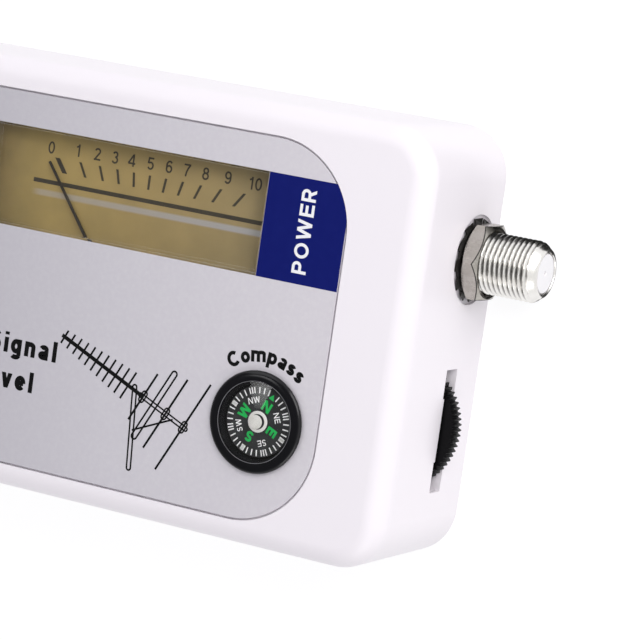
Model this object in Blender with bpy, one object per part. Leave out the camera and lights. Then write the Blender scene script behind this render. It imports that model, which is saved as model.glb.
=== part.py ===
"""Aerial signal finder with a moving-coil meter, a button compass, a thumbwheel and an F socket.

The instrument lies on its back: +X runs to the end with the socket, +Y is up the front label,
+Z comes out of the label, and the origin is on the back, under the middle of the case.
All lengths are in metres.
"""

import math

import bmesh
import bpy
from mathutils import Vector

MM = 0.001

# Fits shared by all pieces
GAP = 0.3 * MM
OVERRUN = 1.0 * MM
SINK = 0.5 * MM
ROUND_STEPS = 32
SMALL_ROUND_STEPS = 16
CORNER_STEPS = 7
SMOOTH_ANGLE = math.radians(35)

# Case walls and edges
WALL = 2.2 * MM
CASE_CORNER = 7.7 * MM
FRONT_FILLET = 3.3 * MM
BACK_EDGE = 0.6 * MM
COVER_THICK = 1.8 * MM
COVER_FIT = 0.3 * MM

# Front label, its window and what stands in it
LABEL_END_MARGIN = 12.4 * MM
LABEL_TOP_MARGIN = 4.95 * MM
LABEL_BOTTOM_MARGIN = 4.05 * MM
LABEL_CORNER = 13.0 * MM
LABEL_THICK = 0.35 * MM
LABEL_SUNK = 0.1 * MM
PANEL_LENGTH = 13.8 * MM
WINDOW_LENGTH = 50.0 * MM
WINDOW_HEIGHT = 15.7 * MM
WINDOW_TOP_MARGIN = 5.15 * MM
WINDOW_PANE_SUNK = 0.4 * MM
WINDOW_FLANGE = 2.0 * MM
WINDOW_FLANGE_THICK = 0.65 * MM

# Battery, a standard nine-volt block, with its snap
BATTERY_WIDTH = 26.5 * MM
BATTERY_BODY = 46.4 * MM
BATTERY_THICK = 17.5 * MM
BATTERY_EDGE = 1.5 * MM
BATTERY_STUD_R = 2.7 * MM
BATTERY_SOCKET_R = 3.6 * MM
BATTERY_STUD_HEIGHT = 2.4 * MM
BATTERY_STUD_APART = 12.7 * MM
BATTERY_END_ROOM = 3.3 * MM
BATTERY_SIDE_ROOM = 5.45 * MM
SNAP_THICK = 4.4 * MM
SNAP_HEIGHT = 12.0 * MM
SNAP_INSET = 0.8 * MM

# Divider and screw posts moulded in the front shell
DIVIDER = 1.2 * MM
DIVIDER_GAP = 0.4 * MM
POST_BAY = 6.0 * MM
POST_R = 3.2 * MM
POST_HOLE_R = 1.45 * MM
POST_HOLE_DEPTH = 11.0 * MM
POST_FROM_END = 5.7 * MM
POST_FROM_SIDE = 5.9 * MM
POST_FROM_DIVIDER = 2.1 * MM

# Circuit board, its pillars and the fasteners
BOARD_LIFT = 1.9 * MM
BOARD_THICK = 1.6 * MM
BOARD_END_MARGIN = 4.5 * MM
PILLAR_R = 2.6 * MM
PILLAR_HOLE_R = 1.2 * MM
PILLAR_FLOOR = 0.8 * MM
PILLAR_INSET = 4.8 * MM
PILLAR_FROM_CAN = 4.0 * MM
CASE_SCREW_HEAD_R = 2.4 * MM
CASE_SCREW_R = 1.15 * MM
CASE_SCREW_LENGTH = 10.5 * MM
CASE_SCREW_CONE = 1.2 * MM
CASE_SCREW_SUNK = 0.15 * MM
CASE_SCREW_SLOT = 0.5 * MM
BOARD_SCREW_HEAD_R = 1.9 * MM
BOARD_SCREW_HEAD = 1.2 * MM
BOARD_SCREW_R = 0.9 * MM

# Meter: tray, movement cup, movement and dial
METER_LEFT_MARGIN = 4.2 * MM
METER_RIGHT_MARGIN = 8.4 * MM
METER_DEPTH = 15.0 * MM
METER_WALL = 1.0 * MM
METER_TERMINAL = 3.4 * MM
METER_TERMINAL_WIDTH = 1.2 * MM
TRAY_DEPTH = 8.8 * MM
TRAY_TOP_MARGIN = 3.0 * MM
TRAY_BOTTOM_MARGIN = 3.4 * MM
TRAY_DOORWAY = 9.0 * MM
DIAL_DROP = 1.3 * MM
DIAL_THICK = 0.5 * MM
DIAL_BELOW_WINDOW = 2.0 * MM
DIAL_PILLAR_R = 1.6 * MM
DIAL_PILLAR_INSET = 4.0 * MM
PIVOT_BELOW_WINDOW = 11.05 * MM
POINTER_REACH = 27.5 * MM
POINTER_WIDE = 0.5 * MM
POINTER_NARROW = 0.32 * MM
POINTER_THICK = 0.3 * MM
POINTER_LIFT = 0.55 * MM
POINTER_TAIL = 6.0 * MM
POINTER_REST = math.radians(37.9)
HUB_R = 1.7 * MM
HUB_THICK = 0.9 * MM
CORE_R = 5.0 * MM
CORE_HEIGHT = 6.0 * MM
COIL_WIRE = 0.8 * MM
COIL_WIDTH = 1.6 * MM
AIR_GAP = 0.5 * MM
YOKE_THICK = 1.9 * MM
SPOKE_WIDTH = 2.4 * MM
SPOKE_HEIGHT = 3.0 * MM
CUP_WALL = 1.0 * MM
JEWEL_STEM_R = 0.6 * MM
BRIDGE_WIDTH = 3.6 * MM
BRIDGE_THICK = 0.8 * MM
BRIDGE_FOOT = 1.4 * MM
WEIGHT_R = 0.9 * MM
WEIGHT_LENGTH = 1.7 * MM
HAIRSPRING_TURNS = 4
HAIRSPRING_INNER_R = 1.2 * MM
HAIRSPRING_PITCH = 0.75 * MM
HAIRSPRING_STRIP = 0.12 * MM
HAIRSPRING_STEPS = 16
LAMP_R = 1.5 * MM
LAMP_FLANGE_R = 1.9 * MM
LAMP_FLANGE = 0.8 * MM
LAMP_HEIGHT = 4.4 * MM
LAMP_FROM_PIVOT = 18.0 * MM

# Compass capsule
COMPASS_FROM_LABEL_END = 10.1 * MM
COMPASS_FROM_LABEL_BOTTOM = 15.1 * MM
COMPASS_RING_R = 7.75 * MM
COMPASS_RING_THICK = 0.7 * MM
COMPASS_RING_EDGE = 0.3 * MM
COMPASS_BODY_R = 6.8 * MM
COMPASS_DEPTH = 8.4 * MM
COMPASS_FLOOR = 1.0 * MM
COMPASS_BORE_R = 5.75 * MM
LENS_R = 5.95 * MM
LENS_EDGE = 0.55 * MM
LENS_CROWN = 0.5 * MM
LENS_SEAT = 1.0 * MM
CARD_R = 5.3 * MM
CARD_THICK = 0.3 * MM
CARD_DROP = 0.75 * MM
CARD_HOLE_R = 0.75 * MM
CAP_R = 1.2 * MM
CAP_HEIGHT = 0.95 * MM
CAP_STEM_R = 0.45 * MM
CARD_MAGNET_R = 2.8 * MM
CARD_MAGNET_THICK = 0.6 * MM
PIN_R = 0.3 * MM
PIN_BASE_R = 1.6 * MM
PIN_BASE = 0.4 * MM

# Thumbwheel control in the end wall
WHEEL_R = 10.0 * MM
WHEEL_PROUD = 2.35 * MM
WHEEL_THICK = 2.4 * MM
WHEEL_TEETH = 74
WHEEL_TOOTH = 0.45 * MM
WHEEL_BORE_R = 1.6 * MM
WHEEL_PAST_POST = 1.8 * MM
WHEEL_PAST_CAN = 7.6 * MM
WHEEL_ROOM = 0.4 * MM
SLOT_END_ROOM = 3.0 * MM
CONTROL_R = 4.6 * MM
CONTROL_HEIGHT = 2.5 * MM
CONTROL_WALL = 0.6 * MM
CONTROL_FLOOR = 0.4 * MM
TRACK_R = 3.6 * MM
TRACK_WIDTH = 1.4 * MM
TRACK_THICK = 0.3 * MM
WIPER_THICK = 0.35 * MM
WIPER_WIDTH = 0.9 * MM
WHEEL_SCREW_R = 1.3 * MM
WHEEL_SCREW_HEAD_R = 2.3 * MM
WHEEL_SCREW_HEAD = 0.9 * MM

# F socket, thread 3/8-32, with its nut and lock washer
SOCKET_REACH = 11.9 * MM
THREAD_R = 4.7 * MM
THREAD_PITCH = 0.794 * MM
THREAD_DEPTH = 0.42 * MM
THREAD_END_FROM_TIP = 2.7 * MM
TIP_R = 3.75 * MM
SOCKET_BORE_R = 3.35 * MM
SOCKET_FLANGE_R = 5.6 * MM
SOCKET_FLANGE = 1.6 * MM
SOCKET_STEM_R = 1.3 * MM
SOCKET_STEM = 3.8 * MM
SOCKET_WEB = 1.2 * MM
INSULATOR_SUNK = 0.25 * MM
CONTACT_R = 0.45 * MM
CONTACT_TAIL = 3.2 * MM
CONTACT_SUNK = 0.8 * MM
WASHER_R = 6.35 * MM
WASHER_THICK = 0.6 * MM
WASHER_TEETH = 12
WASHER_TOOTH = 0.55 * MM
WASHER_SEAT_R = 6.9 * MM
WASHER_SEAT_DEPTH = 0.5 * MM
NUT_FLATS = 11.2 * MM
NUT_THICK = 2.65 * MM
NUT_CHAMFER = 0.35 * MM

# Screened amplifier box behind the socket
CAN_LENGTH = 18.0 * MM
CAN_PAST_POST = 1.8 * MM
CAN_HEIGHT = 7.6 * MM
CAN_WALL = 0.5 * MM
CAN_BOARD_THICK = 0.7 * MM
CAN_LID_LIP = 1.0 * MM
CHIP_LENGTH = 8.6 * MM
CHIP_WIDTH = 3.9 * MM
CHIP_THICK = 1.6 * MM
CAPACITOR_R = 2.0 * MM
CAPACITOR_HEIGHT = 2.6 * MM
REGULATOR_LENGTH = 4.5 * MM
REGULATOR_THICK = 1.5 * MM

# Sliding battery lid
LID_FROM_CORNER = 0.3 * MM
LID_THICK = 1.7 * MM
LID_TONGUE = 0.9 * MM
LID_TONGUE_THICK = 0.6 * MM
RAIL_HEIGHT = 2.8 * MM
RAIL_INSIDE = 0.6 * MM
RAIL_OUTSIDE = 2.6 * MM
LID_GRIP_GROOVES = 5
LID_GRIP_PITCH = 1.8 * MM
LID_GRIP_WIDTH = 0.8 * MM
LID_GRIP_DEPTH = 0.4 * MM
LID_GRIP_LENGTH = 16.0 * MM
LID_GRIP_FROM_END = 5.0 * MM

# Battery leads
LEAD_R = 0.6 * MM

# Lengths that follow from what the case holds: the battery and its snap across it, and
# battery, divider, meter and label along it. The amplifier box takes the room that the wheel
# and the two posts leave at the end.
CASE_WIDTH = 2 * (WALL + BATTERY_SIDE_ROOM) + BATTERY_BODY + GAP + SNAP_THICK
CAN_WIDTH = CASE_WIDTH - (
    2 * POST_FROM_SIDE + 2 * POST_R + WHEEL_PAST_POST + 2 * WHEEL_R + WHEEL_PAST_CAN
    + CAN_PAST_POST
)
CASE_LENGTH = (
    WALL + BATTERY_END_ROOM + BATTERY_WIDTH + DIVIDER_GAP + DIVIDER + POST_BAY
    + METER_LEFT_MARGIN + WINDOW_LENGTH + PANEL_LENGTH + LABEL_END_MARGIN
)
HALF_LENGTH = CASE_LENGTH / 2
HALF_WIDTH = CASE_WIDTH / 2
INNER_LENGTH = HALF_LENGTH - WALL
INNER_WIDTH = HALF_WIDTH - WALL
INNER_CORNER = CASE_CORNER - WALL

# Levels, from the back to the front
BOARD_BACK = COVER_THICK + BOARD_LIFT
BOARD_FRONT = BOARD_BACK + BOARD_THICK
METER_BACK = BOARD_FRONT + GAP + METER_TERMINAL
METER_FRONT = METER_BACK + METER_DEPTH
FLANGE_FRONT = METER_FRONT + WINDOW_FLANGE_THICK
SHELL_INSIDE = FLANGE_FRONT + GAP
FRONT_SKIN = 1.5 * MM
LABEL_BED = SHELL_INSIDE + FRONT_SKIN
LABEL_BACK = LABEL_BED + GAP
LABEL_FRONT = LABEL_BACK + LABEL_THICK
CASE_DEPTH = LABEL_FRONT + LABEL_SUNK
DIAL_FRONT = METER_FRONT - DIAL_DROP
POINTER_BACK = DIAL_FRONT + POINTER_LIFT

# Places across the front
LABEL_RIGHT = HALF_LENGTH - LABEL_END_MARGIN
LABEL_TOP = HALF_WIDTH - LABEL_TOP_MARGIN
LABEL_BOTTOM = -HALF_WIDTH + LABEL_BOTTOM_MARGIN
WINDOW_RIGHT = LABEL_RIGHT - PANEL_LENGTH
WINDOW_LEFT = WINDOW_RIGHT - WINDOW_LENGTH
WINDOW_TOP = LABEL_TOP - WINDOW_TOP_MARGIN
WINDOW_BOTTOM = WINDOW_TOP - WINDOW_HEIGHT
TRAY_LEFT = WINDOW_LEFT - METER_LEFT_MARGIN
TRAY_RIGHT = WINDOW_RIGHT + METER_RIGHT_MARGIN
TRAY_TOP = WINDOW_TOP + TRAY_TOP_MARGIN
TRAY_BOTTOM = WINDOW_BOTTOM - TRAY_BOTTOM_MARGIN
TRAY_BACK = METER_FRONT - TRAY_DEPTH
PIVOT_X = (TRAY_LEFT + TRAY_RIGHT) / 2
PIVOT_Y = WINDOW_BOTTOM - PIVOT_BELOW_WINDOW
COMPASS_X = LABEL_RIGHT - COMPASS_FROM_LABEL_END
COMPASS_Y = LABEL_BOTTOM + COMPASS_FROM_LABEL_BOTTOM

# Places behind the end wall and in the bays
POST_Y = HALF_WIDTH - POST_FROM_SIDE
SOCKET_Y = POST_Y - POST_R - CAN_PAST_POST - CAN_WIDTH / 2
SOCKET_Z = COVER_THICK + GAP + SOCKET_FLANGE_R
WHEEL_X = HALF_LENGTH + WHEEL_PROUD - WHEEL_R
WHEEL_Y = -POST_Y + POST_R + WHEEL_PAST_POST + WHEEL_R
CONTROL_BACK = BOARD_FRONT + GAP
WHEEL_BACK = CONTROL_BACK + CONTROL_HEIGHT + GAP
WHEEL_FRONT = WHEEL_BACK + WHEEL_THICK
BATTERY_LEFT = -INNER_LENGTH + BATTERY_END_ROOM
BATTERY_RIGHT = BATTERY_LEFT + BATTERY_WIDTH
BATTERY_BOTTOM = -INNER_WIDTH + BATTERY_SIDE_ROOM
BATTERY_TOP = BATTERY_BOTTOM + BATTERY_BODY
BATTERY_BACK = RAIL_HEIGHT + GAP
LID_HALF_WIDTH = HALF_WIDTH - CASE_CORNER - LID_FROM_CORNER
DIVIDER_LEFT = BATTERY_RIGHT + DIVIDER_GAP
DIVIDER_RIGHT = DIVIDER_LEFT + DIVIDER
POST_X = (DIVIDER_RIGHT + POST_FROM_DIVIDER, HALF_LENGTH - POST_FROM_END)
BOARD_LEFT = DIVIDER_RIGHT + POST_BAY + GAP
BOARD_RIGHT = HALF_LENGTH - BOARD_END_MARGIN
BOARD_HALF_WIDTH = POST_Y - POST_R - GAP
CAN_RIGHT = BOARD_RIGHT - CAN_WALL
CAN_LEFT = CAN_RIGHT - CAN_LENGTH
PILLARS = (
    (BOARD_LEFT + PILLAR_INSET, BOARD_HALF_WIDTH - PILLAR_INSET),
    (BOARD_LEFT + PILLAR_INSET, -BOARD_HALF_WIDTH + PILLAR_INSET),
    (CAN_LEFT - PILLAR_FROM_CAN, BOARD_HALF_WIDTH - PILLAR_INSET),
    (CAN_LEFT - PILLAR_FROM_CAN, -BOARD_HALF_WIDTH + PILLAR_INSET),
)


def clear_scene():
    for obj in list(bpy.data.objects):
        bpy.data.objects.remove(obj)


def finish(name, colour, roughness, metallic=0.0, transmission=0.0):
    """A Principled material in a plain colour."""
    material = bpy.data.materials.new(name)
    material.use_nodes = True
    shader = material.node_tree.nodes["Principled BSDF"]
    shader.inputs["Base Color"].default_value = (*colour, 1.0)
    shader.inputs["Roughness"].default_value = roughness
    shader.inputs["Metallic"].default_value = metallic
    shader.inputs["Transmission Weight"].default_value = transmission
    return material


def new_object(name, bm, material, at=(0, 0, 0), turn=(0, 0, 0), parent=None):
    """An object from a bmesh, its faces pointing out and its round sides smooth."""
    bmesh.ops.recalc_face_normals(bm, faces=bm.faces)
    mesh = bpy.data.meshes.new(name)
    bm.to_mesh(mesh)
    bm.free()
    mesh.shade_smooth()
    mesh.set_sharp_from_angle(angle=SMOOTH_ANGLE)
    if material is not None:
        mesh.materials.append(material)
    obj = bpy.data.objects.new(name, mesh)
    bpy.context.scene.collection.objects.link(obj)
    obj.location = at
    obj.rotation_euler = turn
    obj.parent = parent
    return obj


def axis_empty(name, at):
    """An empty on a joint's axis, which carries the pieces that move with it."""
    empty = bpy.data.objects.new(name, None)
    bpy.context.scene.collection.objects.link(empty)
    empty.location = at
    return empty


def as_tool(obj):
    """Hides a solid that only adds to or cuts another one."""
    obj.hide_render = True
    obj.display_type = "WIRE"
    return obj


def combine(target, tool, operation):
    modifier = target.modifiers.new(tool.name, "BOOLEAN")
    modifier.operation = operation
    modifier.solver = "EXACT"
    modifier.object = as_tool(tool)


def cut(target, *tools):
    for tool in tools:
        combine(target, tool, "DIFFERENCE")


def join(target, *tools):
    for tool in tools:
        combine(target, tool, "UNION")


def rectangle(left, right, bottom, top):
    return [(left, bottom), (right, bottom), (right, top), (left, top)]


def rounded_rectangle(half_x, half_y, corner, centre=(0, 0)):
    """Outline with round corners, anticlockwise from the right side's lower end."""
    points = []
    for quarter, (side_x, side_y) in enumerate(((1, -1), (1, 1), (-1, 1), (-1, -1))):
        start = math.radians(90 * quarter - 90)
        for step in range(CORNER_STEPS + 1):
            angle = start + math.radians(90) * step / CORNER_STEPS
            points.append((
                centre[0] + side_x * (half_x - corner) + corner * math.cos(angle),
                centre[1] + side_y * (half_y - corner) + corner * math.sin(angle),
            ))
    return points


def circle(radius, steps, centre=(0, 0), start=0.0):
    return [
        (
            centre[0] + radius * math.cos(start + 2 * math.pi * step / steps),
            centre[1] + radius * math.sin(start + 2 * math.pi * step / steps),
        )
        for step in range(steps)
    ]


def add_stack(bm, levels):
    """A closed body through outlines of equal point counts, given as (outline, height)."""
    rings = [
        [bm.verts.new((x, y, height)) for x, y in outline] for outline, height in levels
    ]
    for lower, upper in zip(rings, rings[1:]):
        for i in range(len(lower)):
            j = (i + 1) % len(lower)
            bm.faces.new((lower[i], lower[j], upper[j], upper[i]))
    bm.faces.new(list(reversed(rings[0])))
    bm.faces.new(rings[-1])


def stack(name, levels, material=None, **placing):
    bm = bmesh.new()
    add_stack(bm, levels)
    return new_object(name, bm, material, **placing)


def prism(name, outline, low, high, material=None, **placing):
    return stack(name, [(outline, low), (outline, high)], material, **placing)


def prisms(name, outlines, low, high, material=None, **placing):
    """Several upright bodies in one object, for cuts and joins."""
    bm = bmesh.new()
    for outline in outlines:
        add_stack(bm, [(outline, low), (outline, high)])
    return new_object(name, bm, material, **placing)


def turned(name, profile, steps=ROUND_STEPS, material=None, **placing):
    """A turned body round Z from (radius, height) points, whose first and last radius may be 0."""
    bm = bmesh.new()
    rings = []
    for radius, height in profile:
        if radius == 0:
            rings.append([bm.verts.new((0, 0, height))])
        else:
            rings.append([bm.verts.new((x, y, height)) for x, y in circle(radius, steps)])
    pairs = list(zip(rings, rings[1:]))
    if len(rings[0]) > 1:
        pairs.append((rings[-1], rings[0]))
    for first, second in pairs:
        for i in range(steps):
            j = (i + 1) % steps
            corners = [first[i % len(first)], first[j % len(first)]]
            corners += [second[j % len(second)], second[i % len(second)]]
            corners = list(dict.fromkeys(corners))
            if len(corners) > 2:
                bm.faces.new(corners)
    return new_object(name, bm, material, **placing)


def ring(name, inner, outer, low, high, steps=ROUND_STEPS, material=None, **placing):
    profile = [(inner, low), (outer, low), (outer, high), (inner, high)]
    return turned(name, profile, steps, material, **placing)


def disc(name, radius, low, high, steps=ROUND_STEPS, material=None, **placing):
    profile = [(0, low), (radius, low), (radius, high), (0, high)]
    return turned(name, profile, steps, material, **placing)


def toothed(outer, depth, teeth, flat_share=0.5):
    """Outline of a wheel with flat-topped teeth."""
    points = []
    for tooth in range(teeth):
        for share, radius in (
            (0.0, outer - depth),
            (0.5 - flat_share / 2, outer),
            (0.5 + flat_share / 2, outer),
        ):
            angle = 2 * math.pi * (tooth + share) / teeth
            points.append((radius * math.cos(angle), radius * math.sin(angle)))
    return points


def smooth_route(points, spacing):
    """Points along a smooth curve through a route, about one spacing apart."""
    route = [Vector(point) for point in points]
    route = [2 * route[0] - route[1], *route, 2 * route[-1] - route[-2]]
    found = []
    for before, start, end, after in zip(route, route[1:], route[2:], route[3:]):
        count = max(2, round((end - start).length / spacing))
        for step in range(count):
            t = step / count
            found.append(
                0.5 * (2 * start + (end - before) * t
                       + (2 * before - 5 * start + 4 * end - after) * t * t
                       + (3 * start - before - 3 * end + after) * t ** 3)
            )
    return [*found, route[-2]]


def tube(name, points, radius, material):
    """A round wire along its points, closed at both ends."""
    curve = bpy.data.curves.new(name, "CURVE")
    curve.dimensions = "3D"
    spline = curve.splines.new("POLY")
    spline.points.add(len(points) - 1)
    for target, point in zip(spline.points, points):
        target.co = (*point, 1.0)
    curve.bevel_depth = radius
    curve.bevel_resolution = 2
    curve.use_fill_caps = True
    curve.materials.append(material)
    obj = bpy.data.objects.new(name, curve)
    bpy.context.scene.collection.objects.link(obj)
    return obj


def along_x(y, z):
    """Placing of a turned body whose own Z axis lies along X, at this height and depth."""
    return {"at": (0, y, z), "turn": (0, math.radians(90), 0)}


def lid_channel(name, half_width, tongue, low, high):
    """The T-shaped passage that the battery lid runs in, out through the case's end."""
    outline = [
        (half_width, -OVERRUN), (half_width, low), (half_width + tongue, low),
        (half_width + tongue, high), (-half_width - tongue, high),
        (-half_width - tongue, low), (-half_width, low), (-half_width, -OVERRUN),
    ]
    bm = bmesh.new()
    ends = (-HALF_LENGTH - OVERRUN, DIVIDER_LEFT)
    rings = [[bm.verts.new((x, y, z)) for y, z in outline] for x in ends]
    for i in range(len(outline)):
        j = (i + 1) % len(outline)
        bm.faces.new((rings[0][i], rings[0][j], rings[1][j], rings[1][i]))
    bm.faces.new(rings[0])
    bm.faces.new(list(reversed(rings[1])))
    return new_object(name, bm, None)


def tongue_low():
    return LID_THICK - LID_TONGUE_THICK


def build_front_shell(white):
    """The deep white shell: front face, four sides, screw posts and battery divider."""
    levels = [
        (rounded_rectangle(HALF_LENGTH - BACK_EDGE, HALF_WIDTH - BACK_EDGE, CASE_CORNER - BACK_EDGE), 0),
        (rounded_rectangle(HALF_LENGTH, HALF_WIDTH, CASE_CORNER), BACK_EDGE),
    ]
    for step in range(CORNER_STEPS + 1):
        angle = math.radians(90) * step / CORNER_STEPS
        inset = FRONT_FILLET * (1 - math.cos(angle))
        height = CASE_DEPTH - FRONT_FILLET * (1 - math.sin(angle))
        levels.append((
            rounded_rectangle(HALF_LENGTH - inset, HALF_WIDTH - inset, CASE_CORNER - inset),
            height,
        ))
    shell = stack("front_shell", levels, white)
    cut(shell, prism(
        "shell_hollow",
        rounded_rectangle(INNER_LENGTH, INNER_WIDTH, INNER_CORNER),
        -OVERRUN, SHELL_INSIDE,
    ))
    posts = [(x, side * POST_Y) for x in POST_X for side in (1, -1)]
    join(shell, prisms(
        "shell_posts",
        [circle(POST_R, SMALL_ROUND_STEPS, post) for post in posts],
        COVER_THICK + GAP, SHELL_INSIDE + SINK,
    ))
    divider = rectangle(DIVIDER_LEFT, DIVIDER_RIGHT, -INNER_WIDTH - SINK, BATTERY_TOP)
    join(shell, prism("shell_divider", divider, RAIL_HEIGHT + GAP, SHELL_INSIDE + SINK))
    label_middle = ((0, (LABEL_TOP + LABEL_BOTTOM) / 2))
    label_half_y = (LABEL_TOP - LABEL_BOTTOM) / 2
    cut(
        shell,
        prisms(
            "post_holes",
            [circle(POST_HOLE_R, SMALL_ROUND_STEPS, post) for post in posts],
            0, COVER_THICK + GAP + POST_HOLE_DEPTH,
        ),
        prism(
            "label_recess",
            rounded_rectangle(
                LABEL_RIGHT + GAP, label_half_y + GAP, LABEL_CORNER + GAP, label_middle
            ),
            LABEL_BED, CASE_DEPTH + OVERRUN,
        ),
        prism(
            "window_hole",
            rectangle(WINDOW_LEFT - GAP, WINDOW_RIGHT + GAP, WINDOW_BOTTOM - GAP, WINDOW_TOP + GAP),
            SHELL_INSIDE - OVERRUN, CASE_DEPTH,
        ),
        disc(
            "compass_hole", COMPASS_BODY_R + GAP, SHELL_INSIDE - OVERRUN, CASE_DEPTH,
            at=(COMPASS_X, COMPASS_Y, 0),
        ),
        disc(
            "socket_hole", THREAD_R + GAP, INNER_LENGTH - OVERRUN, HALF_LENGTH + OVERRUN,
            **along_x(SOCKET_Y, SOCKET_Z),
        ),
        disc(
            "washer_seat", WASHER_SEAT_R, HALF_LENGTH - WASHER_SEAT_DEPTH, HALF_LENGTH + OVERRUN,
            **along_x(SOCKET_Y, SOCKET_Z),
        ),
    )
    chord = math.sqrt(WHEEL_R ** 2 - (WHEEL_R - WHEEL_PROUD) ** 2)
    slot_half = chord + SLOT_END_ROOM
    cut(
        shell,
        prism(
            "wheel_slot",
            rectangle(
                INNER_LENGTH - OVERRUN, HALF_LENGTH + OVERRUN,
                WHEEL_Y - slot_half, WHEEL_Y + slot_half,
            ),
            WHEEL_BACK - WHEEL_ROOM, WHEEL_FRONT + WHEEL_ROOM,
        ),
        disc("wheel_room", WHEEL_R + GAP, WHEEL_BACK - WHEEL_ROOM, WHEEL_FRONT + WHEEL_ROOM,
             at=(WHEEL_X, WHEEL_Y, 0)),
        lid_channel("lid_channel_shell", LID_HALF_WIDTH + GAP, LID_TONGUE + GAP,
                    tongue_low() - GAP, LID_THICK + GAP),
    )


def build_rear_cover(white):
    """The back plate, let in between the shell's sides, with the lid's rails and board pillars."""
    cover = prism(
        "rear_cover",
        rounded_rectangle(
            INNER_LENGTH - COVER_FIT, INNER_WIDTH - COVER_FIT, INNER_CORNER - COVER_FIT
        ),
        0, COVER_THICK, white,
    )
    rail_inner = LID_HALF_WIDTH - RAIL_INSIDE
    rail_outer = LID_HALF_WIDTH + LID_TONGUE + GAP + RAIL_OUTSIDE
    rail_left = -INNER_LENGTH + COVER_FIT + CASE_CORNER - WALL
    rails = [
        rectangle(rail_left, DIVIDER_LEFT - GAP, side_low, side_high)
        for side_low, side_high in ((rail_inner, rail_outer), (-rail_outer, -rail_inner))
    ]
    join(
        cover,
        prisms("lid_rails", rails, COVER_THICK - SINK, RAIL_HEIGHT),
        prisms(
            "board_pillars",
            [circle(PILLAR_R, SMALL_ROUND_STEPS, pillar) for pillar in PILLARS],
            COVER_THICK - SINK, BOARD_BACK - GAP,
        ),
    )
    posts = [(x, side * POST_Y) for x in POST_X for side in (1, -1)]
    sinks = bmesh.new()
    sink_top_r = CASE_SCREW_HEAD_R + GAP
    for post in posts:
        add_stack(sinks, [
            (circle(sink_top_r, SMALL_ROUND_STEPS, post), -OVERRUN),
            (circle(sink_top_r, SMALL_ROUND_STEPS, post), CASE_SCREW_SUNK),
            (circle(CASE_SCREW_R + GAP, SMALL_ROUND_STEPS, post), CASE_SCREW_CONE + CASE_SCREW_SUNK),
            (circle(CASE_SCREW_R + GAP, SMALL_ROUND_STEPS, post), COVER_THICK + OVERRUN),
        ])
    cut(
        cover,
        new_object("screw_sinks", sinks, None),
        prisms(
            "pillar_holes",
            [circle(PILLAR_HOLE_R, SMALL_ROUND_STEPS, pillar) for pillar in PILLARS],
            PILLAR_FLOOR, BOARD_BACK + OVERRUN,
        ),
        lid_channel("lid_channel_cover", LID_HALF_WIDTH + GAP, LID_TONGUE + GAP,
                    tongue_low() - GAP, LID_THICK + GAP),
    )


def build_battery_lid(white):
    """The lid slides out along -X on two tongues and has grip grooves near its free end."""
    carrier = axis_empty("battery_lid_slide", (-HALF_LENGTH, 0, 0))
    length = DIVIDER_LEFT - GAP + HALF_LENGTH
    lid = prism(
        "battery_lid", rectangle(0, length, -LID_HALF_WIDTH, LID_HALF_WIDTH),
        0, LID_THICK, white, parent=carrier,
    )
    tongue_half = LID_HALF_WIDTH + LID_TONGUE
    tongue_start = CASE_CORNER
    join(lid, prism(
        "lid_tongues", rectangle(tongue_start, length - GAP, -tongue_half, tongue_half),
        tongue_low(), LID_THICK - LID_TONGUE_THICK / 4, parent=carrier,
    ))
    grooves = []
    for groove in range(LID_GRIP_GROOVES):
        left = LID_GRIP_FROM_END + groove * LID_GRIP_PITCH
        grooves.append(rectangle(
            left, left + LID_GRIP_WIDTH, -LID_GRIP_LENGTH / 2, LID_GRIP_LENGTH / 2
        ))
    cut(lid, prisms("lid_grip", grooves, -OVERRUN, LID_GRIP_DEPTH, parent=carrier))


def build_fasteners(steel):
    """Four countersunk case screws and four pan-head board screws."""
    head_r = CASE_SCREW_HEAD_R
    profile = [
        (0, 0), (head_r, 0), (CASE_SCREW_R, CASE_SCREW_CONE),
        (CASE_SCREW_R, CASE_SCREW_LENGTH - CASE_SCREW_R), (0, CASE_SCREW_LENGTH),
    ]
    cross = CASE_SCREW_SLOT / 2
    for number, (x, side) in enumerate(((x, side) for x in POST_X for side in (1, -1)), 1):
        at = (x, side * POST_Y, CASE_SCREW_SUNK)
        screw = turned(f"case_screw_{number}", profile, SMALL_ROUND_STEPS, steel, at=at)
        slot = rectangle(-head_r + cross, head_r - cross, -cross, cross)
        cut(screw, prism(f"case_screw_slot_{number}", slot, -OVERRUN, CASE_SCREW_SLOT, at=at))
    profile = [
        (0, PILLAR_FLOOR + GAP - BOARD_FRONT), (BOARD_SCREW_R, PILLAR_FLOOR + GAP - BOARD_FRONT),
        (BOARD_SCREW_R, GAP), (BOARD_SCREW_HEAD_R, GAP),
        (BOARD_SCREW_HEAD_R, BOARD_SCREW_HEAD), (0, BOARD_SCREW_HEAD + GAP),
    ]
    for number, (x, y) in enumerate(PILLARS, 1):
        turned(f"board_screw_{number}", profile, SMALL_ROUND_STEPS, steel, at=(x, y, BOARD_FRONT))


def build_front_label(grey):
    """The printed overlay, with openings for the meter window and the compass."""
    middle = (0, (LABEL_TOP + LABEL_BOTTOM) / 2)
    outline = rounded_rectangle(LABEL_RIGHT, (LABEL_TOP - LABEL_BOTTOM) / 2, LABEL_CORNER, middle)
    label = prism("front_label", outline, LABEL_BACK, LABEL_FRONT, grey)
    low, high = LABEL_BACK - OVERRUN, LABEL_FRONT + OVERRUN
    cut(
        label,
        prism("label_window", rectangle(WINDOW_LEFT, WINDOW_RIGHT, WINDOW_BOTTOM, WINDOW_TOP), low, high),
        disc("label_compass_hole", COMPASS_BODY_R + GAP, low, high, at=(COMPASS_X, COMPASS_Y, 0)),
    )


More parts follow.
